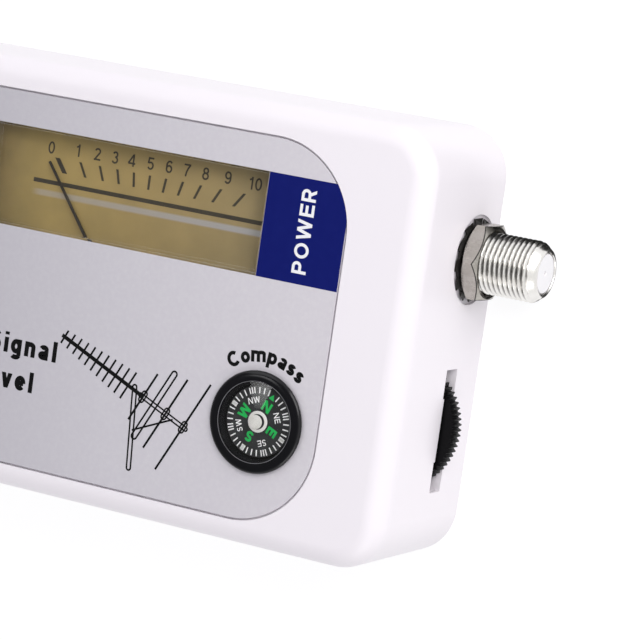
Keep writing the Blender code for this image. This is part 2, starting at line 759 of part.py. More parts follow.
def build_meter_case(clear, black, amber, lamp_white, tin):
    """Window, tray with movement cup, dial on its pillars, lamps and terminals."""
    window = prism(
        "meter_window",
        rectangle(WINDOW_LEFT - WINDOW_FLANGE, WINDOW_RIGHT + WINDOW_FLANGE,
                  WINDOW_BOTTOM - WINDOW_FLANGE, WINDOW_TOP + WINDOW_FLANGE),
        METER_FRONT, FLANGE_FRONT, clear,
    )
    join(window, prism(
        "window_field",
        rectangle(WINDOW_LEFT + GAP, WINDOW_RIGHT - GAP, WINDOW_BOTTOM + GAP, WINDOW_TOP - GAP),
        FLANGE_FRONT - WINDOW_FLANGE_THICK / 2, LABEL_FRONT - WINDOW_PANE_SUNK,
    ))

    cup_inner = yoke_outer_r() + GAP
    cup_outer = cup_inner + CUP_WALL
    cup_top = movement_top() + GAP
    tray_front = METER_FRONT - GAP
    tray = prism(
        "meter_tray", rectangle(TRAY_LEFT, TRAY_RIGHT, TRAY_BOTTOM, TRAY_TOP),
        TRAY_BACK, tray_front, black,
    )
    join(tray, disc("meter_cup", cup_outer, METER_BACK, cup_top, at=(PIVOT_X, PIVOT_Y, 0)))
    cut(
        tray,
        prism(
            "tray_hollow",
            rectangle(TRAY_LEFT + METER_WALL, TRAY_RIGHT - METER_WALL,
                      TRAY_BOTTOM + METER_WALL, TRAY_TOP - METER_WALL),
            TRAY_BACK + METER_WALL, METER_FRONT + OVERRUN,
        ),
        disc("cup_hollow", cup_inner, METER_BACK + METER_WALL, METER_FRONT + OVERRUN,
             at=(PIVOT_X, PIVOT_Y, 0)),
        prism(
            "tray_doorway",
            rectangle(PIVOT_X - TRAY_DOORWAY, PIVOT_X + TRAY_DOORWAY,
                      TRAY_BOTTOM - OVERRUN, TRAY_BOTTOM + METER_WALL + OVERRUN),
            cup_top, METER_FRONT + OVERRUN,
        ),
    )
    pillars = [
        (x, y)
        for x in (TRAY_LEFT + DIAL_PILLAR_INSET, TRAY_RIGHT - DIAL_PILLAR_INSET)
        for y in (TRAY_BOTTOM + DIAL_PILLAR_INSET, TRAY_TOP - DIAL_PILLAR_INSET)
    ]
    join(tray, prisms(
        "dial_pillars", [circle(DIAL_PILLAR_R, SMALL_ROUND_STEPS, pillar) for pillar in pillars],
        TRAY_BACK + METER_WALL / 2, DIAL_FRONT - DIAL_THICK - GAP,
    ))
    lamps = [PIVOT_X - LAMP_FROM_PIVOT, PIVOT_X + LAMP_FROM_PIVOT]
    lamp_y = (WINDOW_TOP + WINDOW_BOTTOM) / 2
    cut(tray, prisms(
        "lamp_holes", [circle(LAMP_R - GAP, SMALL_ROUND_STEPS, (x, lamp_y)) for x in lamps],
        TRAY_BACK - OVERRUN, TRAY_BACK + METER_WALL + OVERRUN,
    ))

    dial_bottom = WINDOW_BOTTOM - DIAL_BELOW_WINDOW
    prism(
        "dial_plate",
        rectangle(TRAY_LEFT + METER_WALL + GAP, TRAY_RIGHT - METER_WALL - GAP,
                  dial_bottom, TRAY_TOP - METER_WALL - GAP),
        DIAL_FRONT - DIAL_THICK, DIAL_FRONT, amber,
    )
    lamp = [
        (0, 0), (LAMP_FLANGE_R, 0), (LAMP_FLANGE_R, LAMP_FLANGE), (LAMP_R, LAMP_FLANGE),
        (LAMP_R, LAMP_HEIGHT - LAMP_R), (LAMP_R * math.cos(math.radians(45)),
                                        LAMP_HEIGHT - LAMP_R + LAMP_R * math.sin(math.radians(45))),
        (0, LAMP_HEIGHT),
    ]
    for side, x in zip(("left", "right"), lamps):
        turned(f"dial_lamp_{side}", lamp, SMALL_ROUND_STEPS, lamp_white,
               at=(x, lamp_y, TRAY_BACK + METER_WALL + GAP))
    half = METER_TERMINAL_WIDTH / 2
    for side, sign in (("left", -1), ("right", 1)):
        x = PIVOT_X + sign * cup_inner / 2
        prism(
            f"meter_terminal_{side}", rectangle(x - half, x + half, PIVOT_Y - half, PIVOT_Y + half),
            BOARD_FRONT + GAP, METER_BACK - GAP, tin,
        )


def coil_inner_r():
    return CORE_R + AIR_GAP


def coil_outer_r():
    return coil_inner_r() + COIL_WIRE


def yoke_outer_r():
    return coil_outer_r() + AIR_GAP + YOKE_THICK


def movement_middle():
    """Height of the core's middle, with the rear bridge, stem and coil between it and the cup's floor."""
    below = METER_WALL + GAP + BRIDGE_THICK + GAP + BRIDGE_THICK + COIL_WIRE + AIR_GAP
    return METER_BACK + below + CORE_HEIGHT / 2


def movement_top():
    """Top of the turning coil."""
    return movement_middle() + CORE_HEIGHT / 2 + AIR_GAP + COIL_WIRE


def build_movement(iron, copper, black, brass, steel):
    """Core, yoke and bridges stand still, and coil, stems, pointer and weight turn together."""
    middle = movement_middle()
    at = (PIVOT_X, PIVOT_Y, middle)
    half_core = CORE_HEIGHT / 2
    core = disc("core_magnet", CORE_R, -half_core, half_core, material=iron, at=at)
    spoke_end = coil_outer_r() + AIR_GAP - GAP
    join(core, prism(
        "core_spokes", rectangle(-SPOKE_WIDTH / 2, SPOKE_WIDTH / 2, -spoke_end, spoke_end),
        -SPOKE_HEIGHT / 2, SPOKE_HEIGHT / 2, at=at,
    ))
    coil_top = half_core + AIR_GAP + COIL_WIRE
    ring("yoke_ring", coil_outer_r() + AIR_GAP, yoke_outer_r(), -half_core, half_core,
         material=iron, at=at)

    axis = axis_empty("movement_axis", at)
    axis.rotation_euler = (0, 0, POINTER_REST)
    coil_outline = rectangle(-coil_outer_r(), coil_outer_r(), -coil_top, coil_top)
    coil_hole = rectangle(
        -coil_inner_r(), coil_inner_r(), -coil_top + COIL_WIRE, coil_top - COIL_WIRE
    )
    upright = {"turn": (math.radians(90), 0, 0), "parent": axis}
    coil = prism("moving_coil", coil_outline, -COIL_WIDTH / 2, COIL_WIDTH / 2, copper, **upright)
    cut(coil, prism("coil_hole", coil_hole, -COIL_WIDTH, COIL_WIDTH, **upright))

    bridge_under = SHELL_INSIDE - GAP - BRIDGE_THICK - middle
    pointer_low = POINTER_BACK - middle
    pointer_top = pointer_low + POINTER_THICK
    stem = [(0, coil_top + GAP), (JEWEL_STEM_R, coil_top + GAP),
            (JEWEL_STEM_R, pointer_low), (0, bridge_under - GAP)]
    turned("upper_stem", stem, SMALL_ROUND_STEPS, steel, parent=axis)
    rear_top = METER_BACK + METER_WALL + GAP + BRIDGE_THICK - middle
    stem = [(0, rear_top + GAP), (JEWEL_STEM_R, rear_top + 2 * GAP),
            (JEWEL_STEM_R, -coil_top - GAP), (0, -coil_top - GAP)]
    turned("lower_stem", stem, SMALL_ROUND_STEPS, steel, parent=axis)

    hub_low = pointer_top - HUB_THICK
    pointer = disc("pointer", HUB_R, hub_low, pointer_top, SMALL_ROUND_STEPS, black, parent=axis)
    blade = [
        (-POINTER_WIDE / 2, -POINTER_TAIL), (POINTER_WIDE / 2, -POINTER_TAIL),
        (POINTER_WIDE / 2, HUB_R), (POINTER_NARROW / 2, POINTER_REACH),
        (-POINTER_NARROW / 2, POINTER_REACH), (-POINTER_WIDE / 2, HUB_R),
    ]
    join(pointer, prism("pointer_blade", blade, pointer_low, pointer_top, parent=axis))
    cut(pointer, disc("pointer_bore", JEWEL_STEM_R + GAP, hub_low - OVERRUN,
                      pointer_top + OVERRUN, SMALL_ROUND_STEPS, parent=axis))
    tail_r = POINTER_WIDE / 2 + GAP
    ring("balance_weight", tail_r, WEIGHT_R, 0, WEIGHT_LENGTH, SMALL_ROUND_STEPS, brass,
         at=(0, -POINTER_TAIL + GAP, pointer_low + POINTER_THICK / 2),
         turn=(math.radians(-90), 0, 0), parent=axis)

    reach = yoke_outer_r()
    foot_inner = reach - BRIDGE_FOOT
    front = [
        (-reach, half_core + GAP), (-foot_inner, half_core + GAP),
        (-foot_inner, bridge_under), (foot_inner, bridge_under),
        (foot_inner, half_core + GAP), (reach, half_core + GAP),
        (reach, bridge_under + BRIDGE_THICK), (-reach, bridge_under + BRIDGE_THICK),
    ]
    prism("front_bridge", front, -BRIDGE_WIDTH / 2, BRIDGE_WIDTH / 2, brass,
          at=at, turn=(math.radians(90), 0, 0))
    rear = [
        (-reach, -half_core - GAP), (-reach, rear_top - BRIDGE_THICK),
        (reach, rear_top - BRIDGE_THICK), (reach, -half_core - GAP),
        (foot_inner, -half_core - GAP), (foot_inner, rear_top),
        (-foot_inner, rear_top), (-foot_inner, -half_core - GAP),
    ]
    prism("rear_bridge", rear, -BRIDGE_WIDTH / 2, BRIDGE_WIDTH / 2, brass,
          at=at, turn=(math.radians(90), 0, 0))

    spring_height = (coil_top + hub_low) / 2
    route = []
    count = HAIRSPRING_TURNS * HAIRSPRING_STEPS
    for step in range(count + 1):
        angle = 2 * math.pi * step / HAIRSPRING_STEPS
        radius = HAIRSPRING_INNER_R + HAIRSPRING_PITCH * step / HAIRSPRING_STEPS
        route.append((PIVOT_X + radius * math.cos(angle), PIVOT_Y + radius * math.sin(angle),
                      middle + spring_height))
    spring = tube("hairspring", route, HAIRSPRING_STRIP, brass)
    spring.data.bevel_resolution = 0


def build_compass(black, clear, card_black, white, steel):
    """Capsule let into the front, with a card that turns on a pin."""
    top = LABEL_FRONT + GAP + COMPASS_RING_THICK
    floor = top - COMPASS_DEPTH
    seat = top - LENS_SEAT
    turned("compass_housing", [
        (0, floor), (COMPASS_BODY_R, floor), (COMPASS_BODY_R, LABEL_FRONT + GAP),
        (COMPASS_RING_R, LABEL_FRONT + GAP), (COMPASS_RING_R, top - COMPASS_RING_EDGE),
        (COMPASS_RING_R - COMPASS_RING_EDGE, top), (LENS_R + GAP, top), (LENS_R + GAP, seat),
        (COMPASS_BORE_R, seat), (COMPASS_BORE_R, floor + COMPASS_FLOOR), (0, floor + COMPASS_FLOOR),
    ], material=black, at=(COMPASS_X, COMPASS_Y, 0))
    low = seat + GAP
    turned("compass_lens", [
        (0, low + LENS_CROWN), (LENS_R / 2, low + LENS_CROWN * 3 / 4),
        (LENS_R, low), (LENS_R, low + LENS_EDGE),
        (LENS_R / 2, low + LENS_EDGE + LENS_CROWN * 3 / 4), (0, low + LENS_EDGE + LENS_CROWN),
    ], material=clear, at=(COMPASS_X, COMPASS_Y, 0))

    card_top = low - CARD_DROP
    axis = axis_empty("compass_axis", (COMPASS_X, COMPASS_Y, card_top))
    ring("compass_card", CARD_HOLE_R, CARD_R, -CARD_THICK, 0, material=card_black, parent=axis)
    magnet_top = -CARD_THICK - GAP
    ring("compass_magnet", CARD_HOLE_R, CARD_MAGNET_R, magnet_top - CARD_MAGNET_THICK, magnet_top,
         material=steel, parent=axis)
    cap_low = magnet_top - CARD_MAGNET_THICK
    turned("compass_cap", [
        (0, 0), (CAP_STEM_R, cap_low), (CAP_STEM_R, GAP / 2), (CAP_R, GAP / 2),
        (CAP_R, CAP_HEIGHT / 2), (CAP_R / 2, CAP_HEIGHT - GAP / 4), (0, CAP_HEIGHT),
    ], SMALL_ROUND_STEPS, white, parent=axis)
    base = floor + COMPASS_FLOOR + GAP
    tip = card_top - GAP
    turned("compass_pin", [
        (0, base), (PIN_BASE_R, base), (PIN_BASE_R, base + PIN_BASE), (PIN_R, base + PIN_BASE),
        (PIN_R, card_top + cap_low - GAP), (0, tip - GAP),
    ], SMALL_ROUND_STEPS, steel, at=(COMPASS_X, COMPASS_Y, 0))


def build_thumbwheel(black, brown, brass, steel):
    """The edge wheel, its screw and wiper turn over a track in the control's body."""
    back = CONTROL_BACK
    at = (WHEEL_X, WHEEL_Y, back)
    ring("control_body", CONTROL_R - CONTROL_WALL, CONTROL_R, 0, CONTROL_HEIGHT,
         material=black, at=at)
    body = bpy.data.objects["control_body"]
    join(body, disc("control_floor", CONTROL_R - CONTROL_WALL / 2, 0, CONTROL_FLOOR, at=at))
    track_low = CONTROL_FLOOR + GAP
    ring("resistor_track", TRACK_R - TRACK_WIDTH, TRACK_R, track_low, track_low + TRACK_THICK,
         material=brown, at=at)

    axis = axis_empty("thumbwheel_axis", at)
    wheel_low = CONTROL_HEIGHT + GAP
    outline = toothed(WHEEL_R, WHEEL_TOOTH, WHEEL_TEETH)
    wheel = prism("thumbwheel", outline, wheel_low, wheel_low + WHEEL_THICK, black, parent=axis)
    cut(wheel, disc("wheel_bore", WHEEL_BORE_R, wheel_low - OVERRUN, wheel_low + WHEEL_THICK + OVERRUN,
                    SMALL_ROUND_STEPS, parent=axis))
    wiper_low = track_low + TRACK_THICK + GAP
    wiper = disc("wiper", WHEEL_SCREW_R + 2 * GAP, wiper_low, wiper_low + WIPER_THICK,
                 SMALL_ROUND_STEPS, brass, parent=axis)
    arm = rectangle(0, TRACK_R, -WIPER_WIDTH / 2, WIPER_WIDTH / 2)
    join(wiper, prism("wiper_arm", arm, wiper_low, wiper_low + WIPER_THICK, parent=axis))
    stem_low = wiper_low + WIPER_THICK + GAP
    head_low = wheel_low + WHEEL_THICK + GAP
    turned("wheel_screw", [
        (0, stem_low), (WHEEL_SCREW_R, stem_low), (WHEEL_SCREW_R, head_low),
        (WHEEL_SCREW_HEAD_R, head_low), (WHEEL_SCREW_HEAD_R, head_low + WHEEL_SCREW_HEAD / 2),
        (0, head_low + WHEEL_SCREW_HEAD),
    ], SMALL_ROUND_STEPS, steel, parent=axis)


def build_socket(nickel, dark_steel, white, brass):
    """Threaded barrel, nut, toothed washer, insulator and centre contact, all along X."""
    place = along_x(SOCKET_Y, SOCKET_Z)
    tip = HALF_LENGTH + SOCKET_REACH
    flange_face = INNER_LENGTH - GAP
    flange_back = flange_face - SOCKET_FLANGE
    stem_back = flange_back - SOCKET_STEM
    thread_end = tip - THREAD_END_FROM_TIP
    root_r = THREAD_R - THREAD_DEPTH
    bore_end = flange_face + SOCKET_WEB
    profile = [
        (CONTACT_R + GAP, stem_back), (SOCKET_STEM_R, stem_back), (SOCKET_STEM_R, flange_back),
        (SOCKET_FLANGE_R, flange_back), (SOCKET_FLANGE_R, flange_face), (root_r, flange_face),
    ]
    thread_start = HALF_LENGTH
    for turn in range(int((thread_end - thread_start) / THREAD_PITCH)):
        groove = thread_start + turn * THREAD_PITCH
        profile += [(root_r, groove), (THREAD_R, groove + THREAD_PITCH / 2)]
    profile += [
        (root_r, thread_end - THREAD_PITCH / 2), (THREAD_R, thread_end),
        (TIP_R + GAP, tip - GAP), (TIP_R, tip),
        (SOCKET_BORE_R, tip), (SOCKET_BORE_R, bore_end), (CONTACT_R + GAP, bore_end),
    ]
    turned("socket_barrel", profile, material=nickel, **place)

    core_r = SOCKET_BORE_R - GAP
    ring("socket_insulator", CONTACT_R + GAP, core_r, bore_end + GAP, tip - INSULATOR_SUNK,
         material=white, **place)
    contact_tip = tip - INSULATOR_SUNK - CONTACT_SUNK
    disc("socket_contact", CONTACT_R, stem_back - CONTACT_TAIL, contact_tip,
         SMALL_ROUND_STEPS, brass, **place)

    washer_low = HALF_LENGTH - WASHER_SEAT_DEPTH + GAP / 2
    washer = prism(
        "lock_washer", toothed(WASHER_R, WASHER_TOOTH, WASHER_TEETH),
        washer_low, washer_low + WASHER_THICK, dark_steel, **place,
    )
    cut(washer, disc("washer_bore", THREAD_R + GAP, washer_low - OVERRUN,
                     washer_low + WASHER_THICK + OVERRUN, **place))
    nut_low = washer_low + WASHER_THICK + GAP / 2
    nut_corner_r = NUT_FLATS / 2 / math.cos(math.radians(30))
    face_r = nut_corner_r - NUT_CHAMFER * 2
    nut = stack("socket_nut", [
        (circle(face_r, 6), nut_low), (circle(nut_corner_r, 6), nut_low + NUT_CHAMFER),
        (circle(nut_corner_r, 6), nut_low + NUT_THICK - NUT_CHAMFER),
        (circle(face_r, 6), nut_low + NUT_THICK),
    ], nickel, **place)
    cut(nut, disc("nut_bore", THREAD_R + GAP, nut_low - OVERRUN, nut_low + NUT_THICK + OVERRUN,
                  **place))


def build_electronics(green, tin, black, silver):
    """Main board, screened amplifier box with its lid and board, and the larger parts."""
    board = prism(
        "circuit_board", rectangle(BOARD_LEFT, BOARD_RIGHT, -BOARD_HALF_WIDTH, BOARD_HALF_WIDTH),
        BOARD_BACK, BOARD_FRONT, green,
    )
    cut(board, prisms(
        "board_holes", [circle(PILLAR_HOLE_R, SMALL_ROUND_STEPS, pillar) for pillar in PILLARS],
        BOARD_BACK - OVERRUN, BOARD_FRONT + OVERRUN,
    ))
    bottom = SOCKET_Y - CAN_WIDTH / 2
    top = SOCKET_Y + CAN_WIDTH / 2
    can_back = BOARD_FRONT + GAP
    can_front = can_back + CAN_HEIGHT
    can = prism("amplifier_can", rectangle(CAN_LEFT, CAN_RIGHT, bottom, top), can_back, can_front, tin)
    cut(
        can,
        prism(
            "can_hollow",
            rectangle(CAN_LEFT + CAN_WALL, CAN_RIGHT - CAN_WALL, bottom + CAN_WALL, top - CAN_WALL),
            can_back + CAN_WALL, can_front + OVERRUN,
        ),
        disc("can_hole", SOCKET_STEM_R + GAP, CAN_RIGHT - CAN_WALL - OVERRUN,
             CAN_RIGHT + OVERRUN, SMALL_ROUND_STEPS, **along_x(SOCKET_Y, SOCKET_Z)),
    )
    prism(
        "amplifier_lid",
        rectangle(CAN_LEFT, CAN_RIGHT, bottom, top),
        can_front + GAP, can_front + GAP + CAN_WALL, tin,
    )
    board_low = can_back + CAN_WALL + GAP
    stem_end = INNER_LENGTH - GAP - SOCKET_FLANGE - SOCKET_STEM
    small_right = stem_end - GAP
    contact_under = SOCKET_Z - CONTACT_R - GAP
    small_thick = min(CAN_BOARD_THICK, contact_under - board_low)
    prism(
        "amplifier_board",
        rectangle(CAN_LEFT + CAN_WALL + GAP, small_right, bottom + CAN_WALL + GAP, top - CAN_WALL - GAP),
        board_low, board_low + small_thick, green,
    )

    chip_low = BOARD_FRONT + GAP
    chip_x = (BOARD_LEFT + PIVOT_X - yoke_outer_r()) / 2
    chip_y = -PILLAR_INSET
    prism(
        "meter_driver_chip",
        rectangle(chip_x - CHIP_LENGTH / 2, chip_x + CHIP_LENGTH / 2,
                  chip_y - CHIP_WIDTH / 2, chip_y + CHIP_WIDTH / 2),
        chip_low, chip_low + CHIP_THICK, black,
    )
    regulator_y = chip_y - CHIP_WIDTH - REGULATOR_LENGTH
    prism(
        "voltage_regulator",
        rectangle(chip_x - REGULATOR_LENGTH / 2, chip_x + REGULATOR_LENGTH / 2,
                  regulator_y - REGULATOR_LENGTH / 2, regulator_y + REGULATOR_LENGTH / 2),
        chip_low, chip_low + REGULATOR_THICK, black,
    )
    capacitor_y = -BOARD_HALF_WIDTH + PILLAR_INSET
    for number in (1, 2):
        x = PIVOT_X - yoke_outer_r() + number * 4 * CAPACITOR_R
        disc(f"capacitor_{number}", CAPACITOR_R, 0, CAPACITOR_HEIGHT, SMALL_ROUND_STEPS, silver,
             at=(x, capacitor_y, chip_low))


def build_battery(blue_grey, black, red):
    """The nine-volt block, its snap and the two leads to the board."""
    middle = ((BATTERY_LEFT + BATTERY_RIGHT) / 2, BATTERY_BACK + BATTERY_THICK / 2)
    lying = {"at": (middle[0], BATTERY_BOTTOM, middle[1]), "turn": (math.radians(-90), 0, 0)}
    outline = rounded_rectangle(BATTERY_WIDTH / 2, BATTERY_THICK / 2, BATTERY_EDGE)
    battery = prism("battery", outline, 0, BATTERY_BODY, blue_grey, **lying)
    studs = bmesh.new()
    socket_levels = []
    for sign, radius in ((-1, BATTERY_STUD_R), (1, BATTERY_SOCKET_R)):
        centre = (sign * BATTERY_STUD_APART / 2, 0)
        stud = circle(radius, SMALL_ROUND_STEPS, centre)
        add_stack(studs, [(stud, BATTERY_BODY - SINK), (stud, BATTERY_BODY + BATTERY_STUD_HEIGHT)])
        socket_levels.append(circle(radius + GAP, SMALL_ROUND_STEPS, centre))
    join(battery, new_object("battery_studs", studs, None, **lying))
    snap_low = BATTERY_BODY + GAP
    snap_half = BATTERY_WIDTH / 2 - SNAP_INSET
    snap = prism(
        "battery_snap", rounded_rectangle(snap_half, SNAP_HEIGHT / 2, BATTERY_EDGE),
        snap_low, snap_low + SNAP_THICK, black, **lying,
    )
    cut(snap, prisms("snap_sockets", socket_levels, snap_low - OVERRUN,
                     BATTERY_BODY + BATTERY_STUD_HEIGHT + GAP, **lying))

    snap_right = middle[0] + snap_half + GAP
    snap_y = BATTERY_BOTTOM + snap_low + SNAP_THICK / 2
    pad_x = BOARD_LEFT + PILLAR_INSET / 2
    for number, (name, material) in enumerate((("lead_red", red), ("lead_black", black))):
        height = middle[1] + (1 - 2 * number) * 2 * LEAD_R
        pad_y = BOARD_HALF_WIDTH - PILLAR_INSET - PILLAR_R - (1 + 2 * number) * 2 * LEAD_R
        lead_end = BOARD_FRONT + GAP
        route = [
            (snap_right, snap_y, height),
            (snap_right + 2 * LEAD_R, snap_y, height),
            ((snap_right + pad_x) / 2, (snap_y + pad_y) / 2, (height + BOARD_FRONT) / 2 + LEAD_R),
            (pad_x, pad_y, lead_end + 4 * LEAD_R),
            (pad_x, pad_y, lead_end),
        ]
        tube(name, smooth_route(route, 3 * LEAD_R), LEAD_R, material)


def build_all():
    clear_scene()
    white = finish("white_plastic", (0.86, 0.85, 0.86), 0.35)
    grey = finish("label_grey", (0.56, 0.55, 0.60), 0.4)
    clear = finish("clear_plastic", (0.95, 0.95, 0.95), 0.05, transmission=1.0)
    black = finish("black_plastic", (0.02, 0.02, 0.022), 0.4)
    gloss_black = finish("gloss_black", (0.008, 0.008, 0.01), 0.12)
    amber = finish("dial_amber", (0.33, 0.23, 0.08), 0.6)
    nickel = finish("nickel", (0.75, 0.73, 0.70), 0.22, metallic=1.0)
    dark_steel = finish("dark_steel", (0.12, 0.11, 0.10), 0.4, metallic=1.0)
    steel = finish("steel", (0.55, 0.55, 0.56), 0.3, metallic=1.0)
    iron = finish("iron", (0.22, 0.22, 0.23), 0.5, metallic=1.0)
    brass = finish("brass", (0.70, 0.52, 0.22), 0.3, metallic=1.0)
    copper = finish("copper_wire", (0.72, 0.33, 0.15), 0.35, metallic=1.0)
    tin = finish("tinplate", (0.66, 0.66, 0.66), 0.3, metallic=1.0)
    green = finish("board_green", (0.02, 0.16, 0.06), 0.45)
    insulator_white = finish("insulator_white", (0.9, 0.9, 0.88), 0.3)
    brown = finish("resistor_brown", (0.12, 0.07, 0.04), 0.6)
    red = finish("lead_red", (0.55, 0.02, 0.02), 0.4)
    battery_grey = finish("battery_grey", (0.10, 0.11, 0.14), 0.35)

    build_front_shell(white)
    build_rear_cover(white)
    build_battery_lid(white)
    build_fasteners(steel)
    build_front_label(grey)
    build_meter_case(clear, black, amber, insulator_white, tin)
    build_movement(iron, copper, black, brass, steel)
    build_compass(gloss_black, clear, gloss_black, insulator_white, steel)
    build_thumbwheel(black, brown, brass, steel)
    build_socket(nickel, dark_steel, insulator_white, brass)
    build_electronics(green, tin, black, steel)
    build_battery(battery_grey, black, red)


build_all()
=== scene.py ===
"""A pocket finder for television aerials, lying on its back on a pale table.

It is put together here in the order of its assembly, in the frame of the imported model: +X runs to
the end with the socket, +Y up the front label and +Z out of it. Shapes are drawn in millimetres
and become metres as each piece is made.
"""

import math

import bmesh
import bpy
from mathutils import Matrix, Vector


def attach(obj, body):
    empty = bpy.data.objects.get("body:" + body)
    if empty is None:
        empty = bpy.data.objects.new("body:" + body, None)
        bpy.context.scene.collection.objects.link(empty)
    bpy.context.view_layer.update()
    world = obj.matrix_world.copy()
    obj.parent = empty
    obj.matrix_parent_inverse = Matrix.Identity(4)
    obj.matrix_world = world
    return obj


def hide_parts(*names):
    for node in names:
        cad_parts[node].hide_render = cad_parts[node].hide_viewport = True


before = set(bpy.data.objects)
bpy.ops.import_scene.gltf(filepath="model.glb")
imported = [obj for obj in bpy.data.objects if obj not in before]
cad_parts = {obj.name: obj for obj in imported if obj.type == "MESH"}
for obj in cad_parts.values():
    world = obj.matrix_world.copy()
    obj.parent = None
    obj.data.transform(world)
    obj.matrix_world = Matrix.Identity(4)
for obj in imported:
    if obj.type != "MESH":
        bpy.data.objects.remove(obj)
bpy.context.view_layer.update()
scene = bpy.context.scene
scene.view_settings.view_transform = "Standard"

# Camera. A long lens looks down over the end with the socket, and the case runs out of the
# picture at its left.
lens = bpy.data.cameras.new("camera")
lens.lens, lens.sensor_width = 179.903, 36
lens.clip_start, lens.clip_end = 0.02, 20
camera = bpy.data.objects.new("camera", lens)
camera.matrix_world = Matrix((
    (0.875829, -0.183976, 0.446181, 0.255361),
    (0.140617, 0.981657, 0.128748, 0.063450),
    (-0.461683, -0.050020, 0.885634, 0.443684),
    (0, 0, 0, 1),
))
scene.collection.objects.link(camera)
scene.camera = camera


# Table and light. Both look white to the camera, and the table keeps a faint shadow. Soft boxes
# hang over the label and face its front and its end. Gloss mirrors a room of its own, which is
# dark on one side, so that black pieces stay black.
def node(tree, kind, links=None, **settings):
    """Adds one node, fed by sockets or plain values."""
    made = tree.nodes.new(kind)
    for key, value in settings.items():
        setattr(made, key, value)
    for socket, source in (links or {}).items():
        if isinstance(source, bpy.types.NodeSocket):
            tree.links.new(source, made.inputs[socket])
        else:
            made.inputs[socket].default_value = source
    return made


def maths(tree, operation, *values):
    return node(tree, "ShaderNodeMath", dict(enumerate(values)), operation=operation).outputs[0]


def vector_maths(tree, operation, *values):
    made = node(tree, "ShaderNodeVectorMath", dict(enumerate(values)), operation=operation)
    return made.outputs["Value" if operation in ("LENGTH", "DISTANCE", "DOT_PRODUCT") else "Vector"]


def mapped(tree, value, low, high, to_low=0.0, to_high=1.0, **settings):
    """A value of one range brought to another."""
    return node(tree, "ShaderNodeMapRange", {
        0: value, 1: low, 2: high, 3: to_low, 4: to_high}, **settings).outputs[0]


def blended(tree, share, first, second, **settings):
    return node(tree, "ShaderNodeMix", {0: share, 6: first, 7: second},
                data_type="RGBA", **settings).outputs[2]


def colour_ramp(tree, factor, stops):
    """Colours at rising places, the first and last at the ramp's own ends."""
    ramp = node(tree, "ShaderNodeValToRGB", {0: factor})
    for place, colour in stops[1:-1]:
        ramp.color_ramp.elements.new(place)
    for element, (place, colour) in zip(ramp.color_ramp.elements, stops):
        element.position, element.color = place, (*colour, 1)
    return ramp.outputs[0]


def noise(tree, where, scale, detail, **settings):
    return node(tree, "ShaderNodeTexNoise", {
        "Vector": where, "Scale": scale, "Detail": detail, **settings}).outputs[0]


def object_place(tree):
    return node(tree, "ShaderNodeTexCoord").outputs["Object"]


def new_material(name):
    """A material, its node tree and its shader."""
    made = bpy.data.materials.new(name)
    made.use_nodes = True
    return made, made.node_tree, made.node_tree.nodes["Principled BSDF"]


room = bpy.data.worlds.new("white_room")
room.use_nodes = True
tree = room.node_tree
tree.nodes.clear()
scene.world = room
DARK_SIDE = (-0.446, -0.129, 0.886)
toward_dark = vector_maths(
    tree, "DOT_PRODUCT", node(tree, "ShaderNodeTexCoord").outputs["Generated"], DARK_SIDE)
mirrored = colour_ramp(tree, toward_dark, [(place, (shade, shade, shade)) for place, shade in (
    (0, 1.0), (0.46, 1.0), (0.64, 0.46), (0.84, 0.14), (1, 0.12))])
filling = node(tree, "ShaderNodeBackground", {"Color": (0.97, 0.97, 1, 1), "Strength": 0.56})
gloss_room = node(tree, "ShaderNodeBackground", {"Color": mirrored})
white_room = node(tree, "ShaderNodeBackground", {"Color": (1, 1, 1, 1)})
rays = node(tree, "ShaderNodeLightPath").outputs
lit_or_gloss = node(tree, "ShaderNodeMixShader", {
    0: maths(tree, "MAXIMUM", rays["Is Glossy Ray"], rays["Is Transmission Ray"]),
    1: filling.outputs[0], 2: gloss_room.outputs[0]})
either = node(tree, "ShaderNodeMixShader", {
    0: rays["Is Camera Ray"], 1: lit_or_gloss.outputs[0], 2: white_room.outputs[0]})
node(tree, "ShaderNodeOutputWorld", {"Surface": either.outputs[0]})

table_paint, tree, _ = new_material("table_white")
tree.nodes.clear()
rays = node(tree, "ShaderNodeLightPath").outputs
seen = maths(tree, "MAXIMUM", maths(tree, "MAXIMUM", rays["Is Camera Ray"], rays["Is Glossy Ray"]),
             rays["Is Transmission Ray"])
tint = colour_ramp(tree, noise(tree, object_place(tree), 9.0, 3.0), (
    (0, (0.20, 0.20, 0.21)), (1, (0.24, 0.24, 0.245))))
chalk = node(tree, "ShaderNodeBsdfDiffuse", {"Color": tint})
glow = node(tree, "ShaderNodeEmission", {
    "Color": (1, 1, 1, 1), "Strength": maths(tree, "MULTIPLY_ADD", seen, 0.24, 0.60)})
together = node(tree, "ShaderNodeAddShader", {0: chalk.outputs[0], 1: glow.outputs[0]})
node(tree, "ShaderNodeOutputMaterial", {"Surface": together.outputs[0]})

table_mesh = bpy.data.meshes.new("table")
TABLE_HALF, TABLE_LEVEL = 4, -0.0003
table_mesh.from_pydata([
    (TABLE_HALF * x, TABLE_HALF * y, TABLE_LEVEL) for x, y in ((-1, -1), (1, -1), (1, 1), (-1, 1))
], [], [(0, 1, 2, 3)])
table_mesh.materials.append(table_paint)
table = bpy.data.objects.new("table", table_mesh)
scene.collection.objects.link(table)

